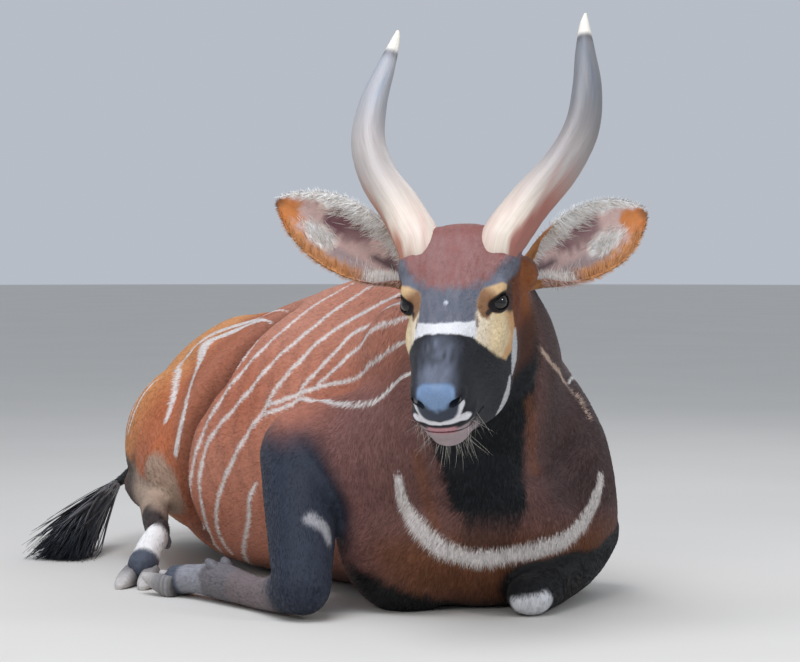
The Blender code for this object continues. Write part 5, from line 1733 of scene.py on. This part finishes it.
def make_hoof(name, start, aim, aside, sole_down, nodes):
    """One half of a cloven hoof: a tapering wedge with a flat sole, growth rings and a rounded wall."""
    level = Vector((aim.x, aim.y, 0.0)).normalized()
    side = Vector((-level.y, level.x, 0.0))
    aim = (level + side * aside * 0.06).normalized()
    side = Vector((-aim.y, aim.x, 0.0))
    middle = start + side * aside * (HOOF_WIDTH / 2 + 0.0012)
    points, tones, flat = [], [], []
    sides = 32
    angle = np.linspace(0.0, 2.0 * math.pi, sides, endpoint=False)
    boxy = np.sign(np.cos(angle)) * np.abs(np.cos(angle)) ** 0.75
    for share, wide, tall in smooth_rows(HOOF, 6):
        share = min(share, 1.0)
        wave = math.sin(share * 2.0 * math.pi * HOOF_RINGS)
        ripple = 1.0 + 0.014 * wave
        across = boxy * wide * HOOF_WIDTH / 2 * 0.985 * ripple
        lifted = np.clip(0.5 + 0.54 * np.sin(angle), 0.0, 1.0)
        rise = lifted * tall * HOOF_HEIGHT * 0.99 * (1.0 + 0.5 * (ripple - 1.0))
        if not sole_down:
            rise = HOOF_HEIGHT * 0.98 - rise
        spot = np.array(middle + aim * share * HOOF_LENGTH)[None] + np.outer(across, np.array(side))
        spot[:, 2] = middle.z + rise
        points.append(spot)
        tone = np.tile(linear("#7d7a7a"), (sides, 1)) * (1.0 + 0.25 * wave)
        scuffed, rim = np.ones(sides) * smooth(share, 0.35, 0.9), np.ones(sides) * smooth(share, 0.10, 0.0)
        tones.append(washes(tone, (scuffed * 0.85, "#c3beba"), (rim * 0.7, "#2d2a2c")))
        flat.append(np.stack([angle / (2.0 * math.pi), np.full(sides, share * 0.95)], axis=1))
    thing = grid_tube(f"{name}_wall", np.array(points), np.array(tones), np.array(flat))
    return put(thing, HOOF_MATERIAL, "hoof", *nodes)


def make_dewclaws(name, joints):
    """Two small blunt claws behind the fetlock."""
    spot, before, after = joints["fetlock"][0], joints["cannon"][0], joints["pastern"][0]
    aim = (after - before).normalized()
    up = -UP if name == "hind_right" else UP
    across = aim.cross(up).normalized()
    up = across.cross(aim)
    for side, word in ((-1, "inner"), (1, "outer")):
        root = spot + aim * 0.004 + across * side * 0.013 + up * 0.024
        way = (aim * 0.75 + up * 0.55 + across * side * 0.25).normalized()
        rows = (
            (root - way * 0.010, 0.0095, 0.0090),
            (root, 0.0105, 0.0095),
            (root + way * 0.008, 0.0100, 0.0088),
            (root + way * 0.013, 0.0070, 0.0060),
        )
        claw = path_tube(f"{name}_dewclaw_{word}", rows, across, 4, True, 20)
        set_tones(claw.data, np.tile(linear("#66646a"), (len(claw.data.vertices), 1)))
        claw.data.shade_smooth()
        put(claw, HOOF_MATERIAL, "hoof")


def make_feet():
    for name, (joints, _) in LEGS.items():
        spot, before = joints["coronet"][0], joints["pastern"][0]
        aim = spot - before
        base = Vector((spot.x, spot.y, 0.0)) - Vector((aim.x, aim.y, 0.0)).normalized() * 0.008
        for aside, word in ((-1, "inner"), (1, "outer")):
            make_hoof(f"{name}_hoof_{word}", base, aim, aside, name == "hind_right", [f"{name}_hoof_{word}"])
        make_dewclaws(name, joints)


def make_tuft():
    """The tail's tuft: long dark locks from a hidden core, spreading and settling on the floor."""
    rng = np.random.default_rng(9)
    start, end = np.array(TUFT_FROM), np.array(TUFT_TO)
    length = np.linalg.norm(end - start)
    aim = (end - start) / length
    side = np.cross(aim, (0.0, 0.0, 1.0))
    side /= np.linalg.norm(side)
    up = np.cross(side, aim)
    count = TUFT_LOCKS
    angle = rng.random(count) * 2.0 * math.pi
    out = np.outer(np.cos(angle), side) + np.outer(np.sin(angle), up)
    share = 0.55 * rng.random(count) ** 1.3 - 0.02
    swell = np.interp(share, [-0.02, 0.0, 0.16, 0.36, 0.55], [0.010, 0.012, 0.020, 0.022, 0.012])
    roots = start + aim * (share * length)[:, None] + out * (swell * np.sqrt(rng.random(count)))[:, None]
    spread = 0.03 + 0.17 * rng.random(count) ** 1.6
    ways = unit(aim[None] + out * spread[:, None] + 0.05 * rng.standard_normal((count, 3)))
    long = length * (1.0 - share) * (0.72 + 0.32 * rng.random(count))
    tones = np.tile(linear("#10151f"), (count, 1))
    tones = washes(tones, (0.35 * rng.random(count), "#2f3746"), (0.25 * rng.random(count), "#241b18"))
    wide, thick = 0.0065 * (0.6 + 0.8 * rng.random(count)), np.full(count, 0.0016)
    droop = 0.016 + 0.02 * rng.random(count)
    material = hair_coat("tail_hair", 0.48, 0.25)
    hair = (roots, ways, square_to(out, ways), long, wide, thick, tones, droop, rng)
    long_locks("tail_tuft_locks", *hair, material, "tuft_hair", "tail_tuft")


def make_whiskers(points, faces, normals):
    """Fine stiff whiskers round the lips and chin, and dark lashes over the eyes."""
    rng = np.random.default_rng(12)
    mirrored = half_place(points)
    chance = blob(mirrored, (0.034, 0.170, -0.088), (0.018, 0.022, 0.018), 0.6)
    chance += blob(mirrored, (0.018, 0.160, -0.135), (0.030, 0.026, 0.022), 0.6)
    count = WHISKERS
    roots, outs = sown(points, faces, normals, chance, count, rng)
    ways = unit(outs + 0.35 * rng.standard_normal((count, 3)) + np.array((0.0, 0.0, -0.55)))
    long = 0.018 + 0.032 * rng.random(count)
    tones = np.where((rng.random(count) < 0.6)[:, None], linear("#cfcac0"), linear("#2e2a2b"))
    lashes = []
    for side in (-1, 1):
        look, along = gaze(side)
        lift = look.cross(along)
        lift = lift if lift.z > 0 else -lift
        for k in range(LASHES):
            share = (k / (LASHES - 1.0) * 2.0 - 1.0) * 0.95
            lid = along * share * 0.0165 + lift * 0.0112 * math.sqrt(1.0 - share * share)
            spot = Vector(eye_at(side)) + look * 0.0170 + lid
            lashes.append((spot, look * 0.8 + lift * 0.15 + along * share * 0.5 - UP * 0.35))
    lash_roots = np.array([spot for spot, _ in lashes]) @ HEAD_ROWS + np.array(HEAD_AT)
    lash_ways = unit(np.array([way for _, way in lashes]) @ HEAD_ROWS)
    roots, ways = np.concatenate([roots, lash_roots]), np.concatenate([ways, lash_ways])
    outs = unit(np.cross(ways, np.cross(np.array(HEAD_NOSE)[None], ways) + 1e-4))
    long = np.concatenate([long, 0.008 + 0.004 * rng.random(len(lashes))])
    tones = np.concatenate([tones, np.tile(linear("#171213"), (len(lashes), 1))])
    wide, thick, droop = (np.full(len(roots), size) for size in (0.00042, 0.00034, 0.003))
    hair = (roots, ways, outs, long, wide, thick, tones, droop, rng)
    long_locks("whiskers", *hair, hair_coat("whisker_hair", 0.4, 0.1), "face_coat")


def make_crest(points, faces, normals):
    """The short upright crest that runs along the spine."""
    rng = np.random.default_rng(15)
    x, y, z = points.T
    spine = (1.0 - smooth(np.abs(x - 0.004), 0.004, 0.012)) * (z > 0.40)
    chance = spine * smooth(y, 0.02, 0.10) * smooth(y, 1.08, 1.00)
    count = CREST_LOCKS
    roots, outs = sown(points, faces, normals, chance, count, rng)
    ways = unit(hair_lie(roots, outs) * 0.95 + outs * 0.14 + 0.08 * rng.standard_normal(roots.shape))
    outs = square_to(outs, ways)
    tones = wash(np.tile(linear("#6b4430"), (count, 1)), (rng.random(count) < 0.45) * 0.8, WHITE_HAIR)
    long = 0.013 * (0.7 + 0.6 * rng.random(count))
    wide, thick, droop = (np.full(count, size) for size in (0.0018, 0.0006, 0.002))
    hair = (roots - outs * 0.001, ways, outs, long, wide, thick, tones, droop, rng)
    long_locks("spine_crest", *hair, hair_coat("crest_hair", 0.5, 0.2), "body_coat")


def area_light(name, at, to, size, power, hex_colour):
    data = bpy.data.lights.new(name, "AREA")
    data.shape = "DISK"
    data.size = size
    data.energy = power
    data.color = linear(hex_colour)
    lamp = new_object(name, data)
    lamp.location = at
    lamp.rotation_euler = (Vector(to) - Vector(at)).to_track_quat("-Z", "Y").to_euler()


def studio():
    """A plain pale floor, soft light from above and ahead, and the photograph's camera."""
    scene = bpy.context.scene
    scene.view_settings.view_transform = "Standard"
    built = bmesh.new()
    bmesh.ops.create_circle(built, cap_ends=True, segments=96, radius=30.0)
    floor = from_bmesh("studio_floor", built)
    if floor.data.polygons[0].normal.z < 0:
        floor.data.flip_normals()
    material, tree, shader = new_material("matt_studio_floor", {"Roughness": 0.9})
    places = node(tree, "ShaderNodeTexCoord").outputs["Object"]
    # The floor's tone drifts over about 0.7 m
    noise = node(tree, "ShaderNodeTexNoise", {"Scale": 1.4, "Detail": 3.0}, {"Vector": places}).outputs[0]
    ramp = node(tree, "ShaderNodeValToRGB", {}, {"Fac": noise})
    for element, hex_colour in zip(ramp.color_ramp.elements, ("#cfccc6", "#d8d5cf")):
        element.color = (*linear(hex_colour), 1.0)
    tree.links.new(ramp.outputs[0], shader.inputs["Base Color"])
    floor.data.materials.append(material)
    world = bpy.data.worlds.new("studio_air")
    world.use_nodes = True
    sky = world.node_tree.nodes["Background"].inputs
    sky["Color"].default_value = (*linear("#d8dfea"), 1.0)
    sky["Strength"].default_value = 0.69
    scene.world = world
    for name, settings in LIGHTS.items():
        area_light(name, *settings)
    eye = in_head(*EYE_AT) + SHIFT
    area_light("catch_light", eye + CATCH_LIGHT_WAY * 2.5, eye, 0.45, 12.0, "#ffffff")
    data = bpy.data.cameras.new("photo_camera")
    data.lens, data.sensor_width = CAMERA_LENS, SENSOR_WIDTH
    camera = new_object("photo_camera", data)
    right, ahead = CAMERA_RIGHT.normalized(), CAMERA_AHEAD.normalized()
    turn = Matrix((right, right.cross(ahead), -ahead)).transposed().to_4x4()
    camera.matrix_world = Matrix.Translation(CAMERA_AT + SHIFT) @ turn
    scene.camera = camera


HORN_MATERIAL, HOOF_MATERIAL, EYE_MATERIAL = horn_keratin(), hoof_keratin(), wet_eye()
EAR_MATERIAL = hair_coat("ear_hide", 0.6, 0.1)


def main():
    studio()
    points, faces, normals = make_skin()
    make_coat(points, faces, normals)
    make_crest(points, faces, normals)
    for side, word in ((-1, "right"), (1, "left")):
        make_horn(word, side)
        make_ear(word)
        make_eye(word, side)
    make_feet()
    make_tuft()
    make_whiskers(points, faces, normals)


main()
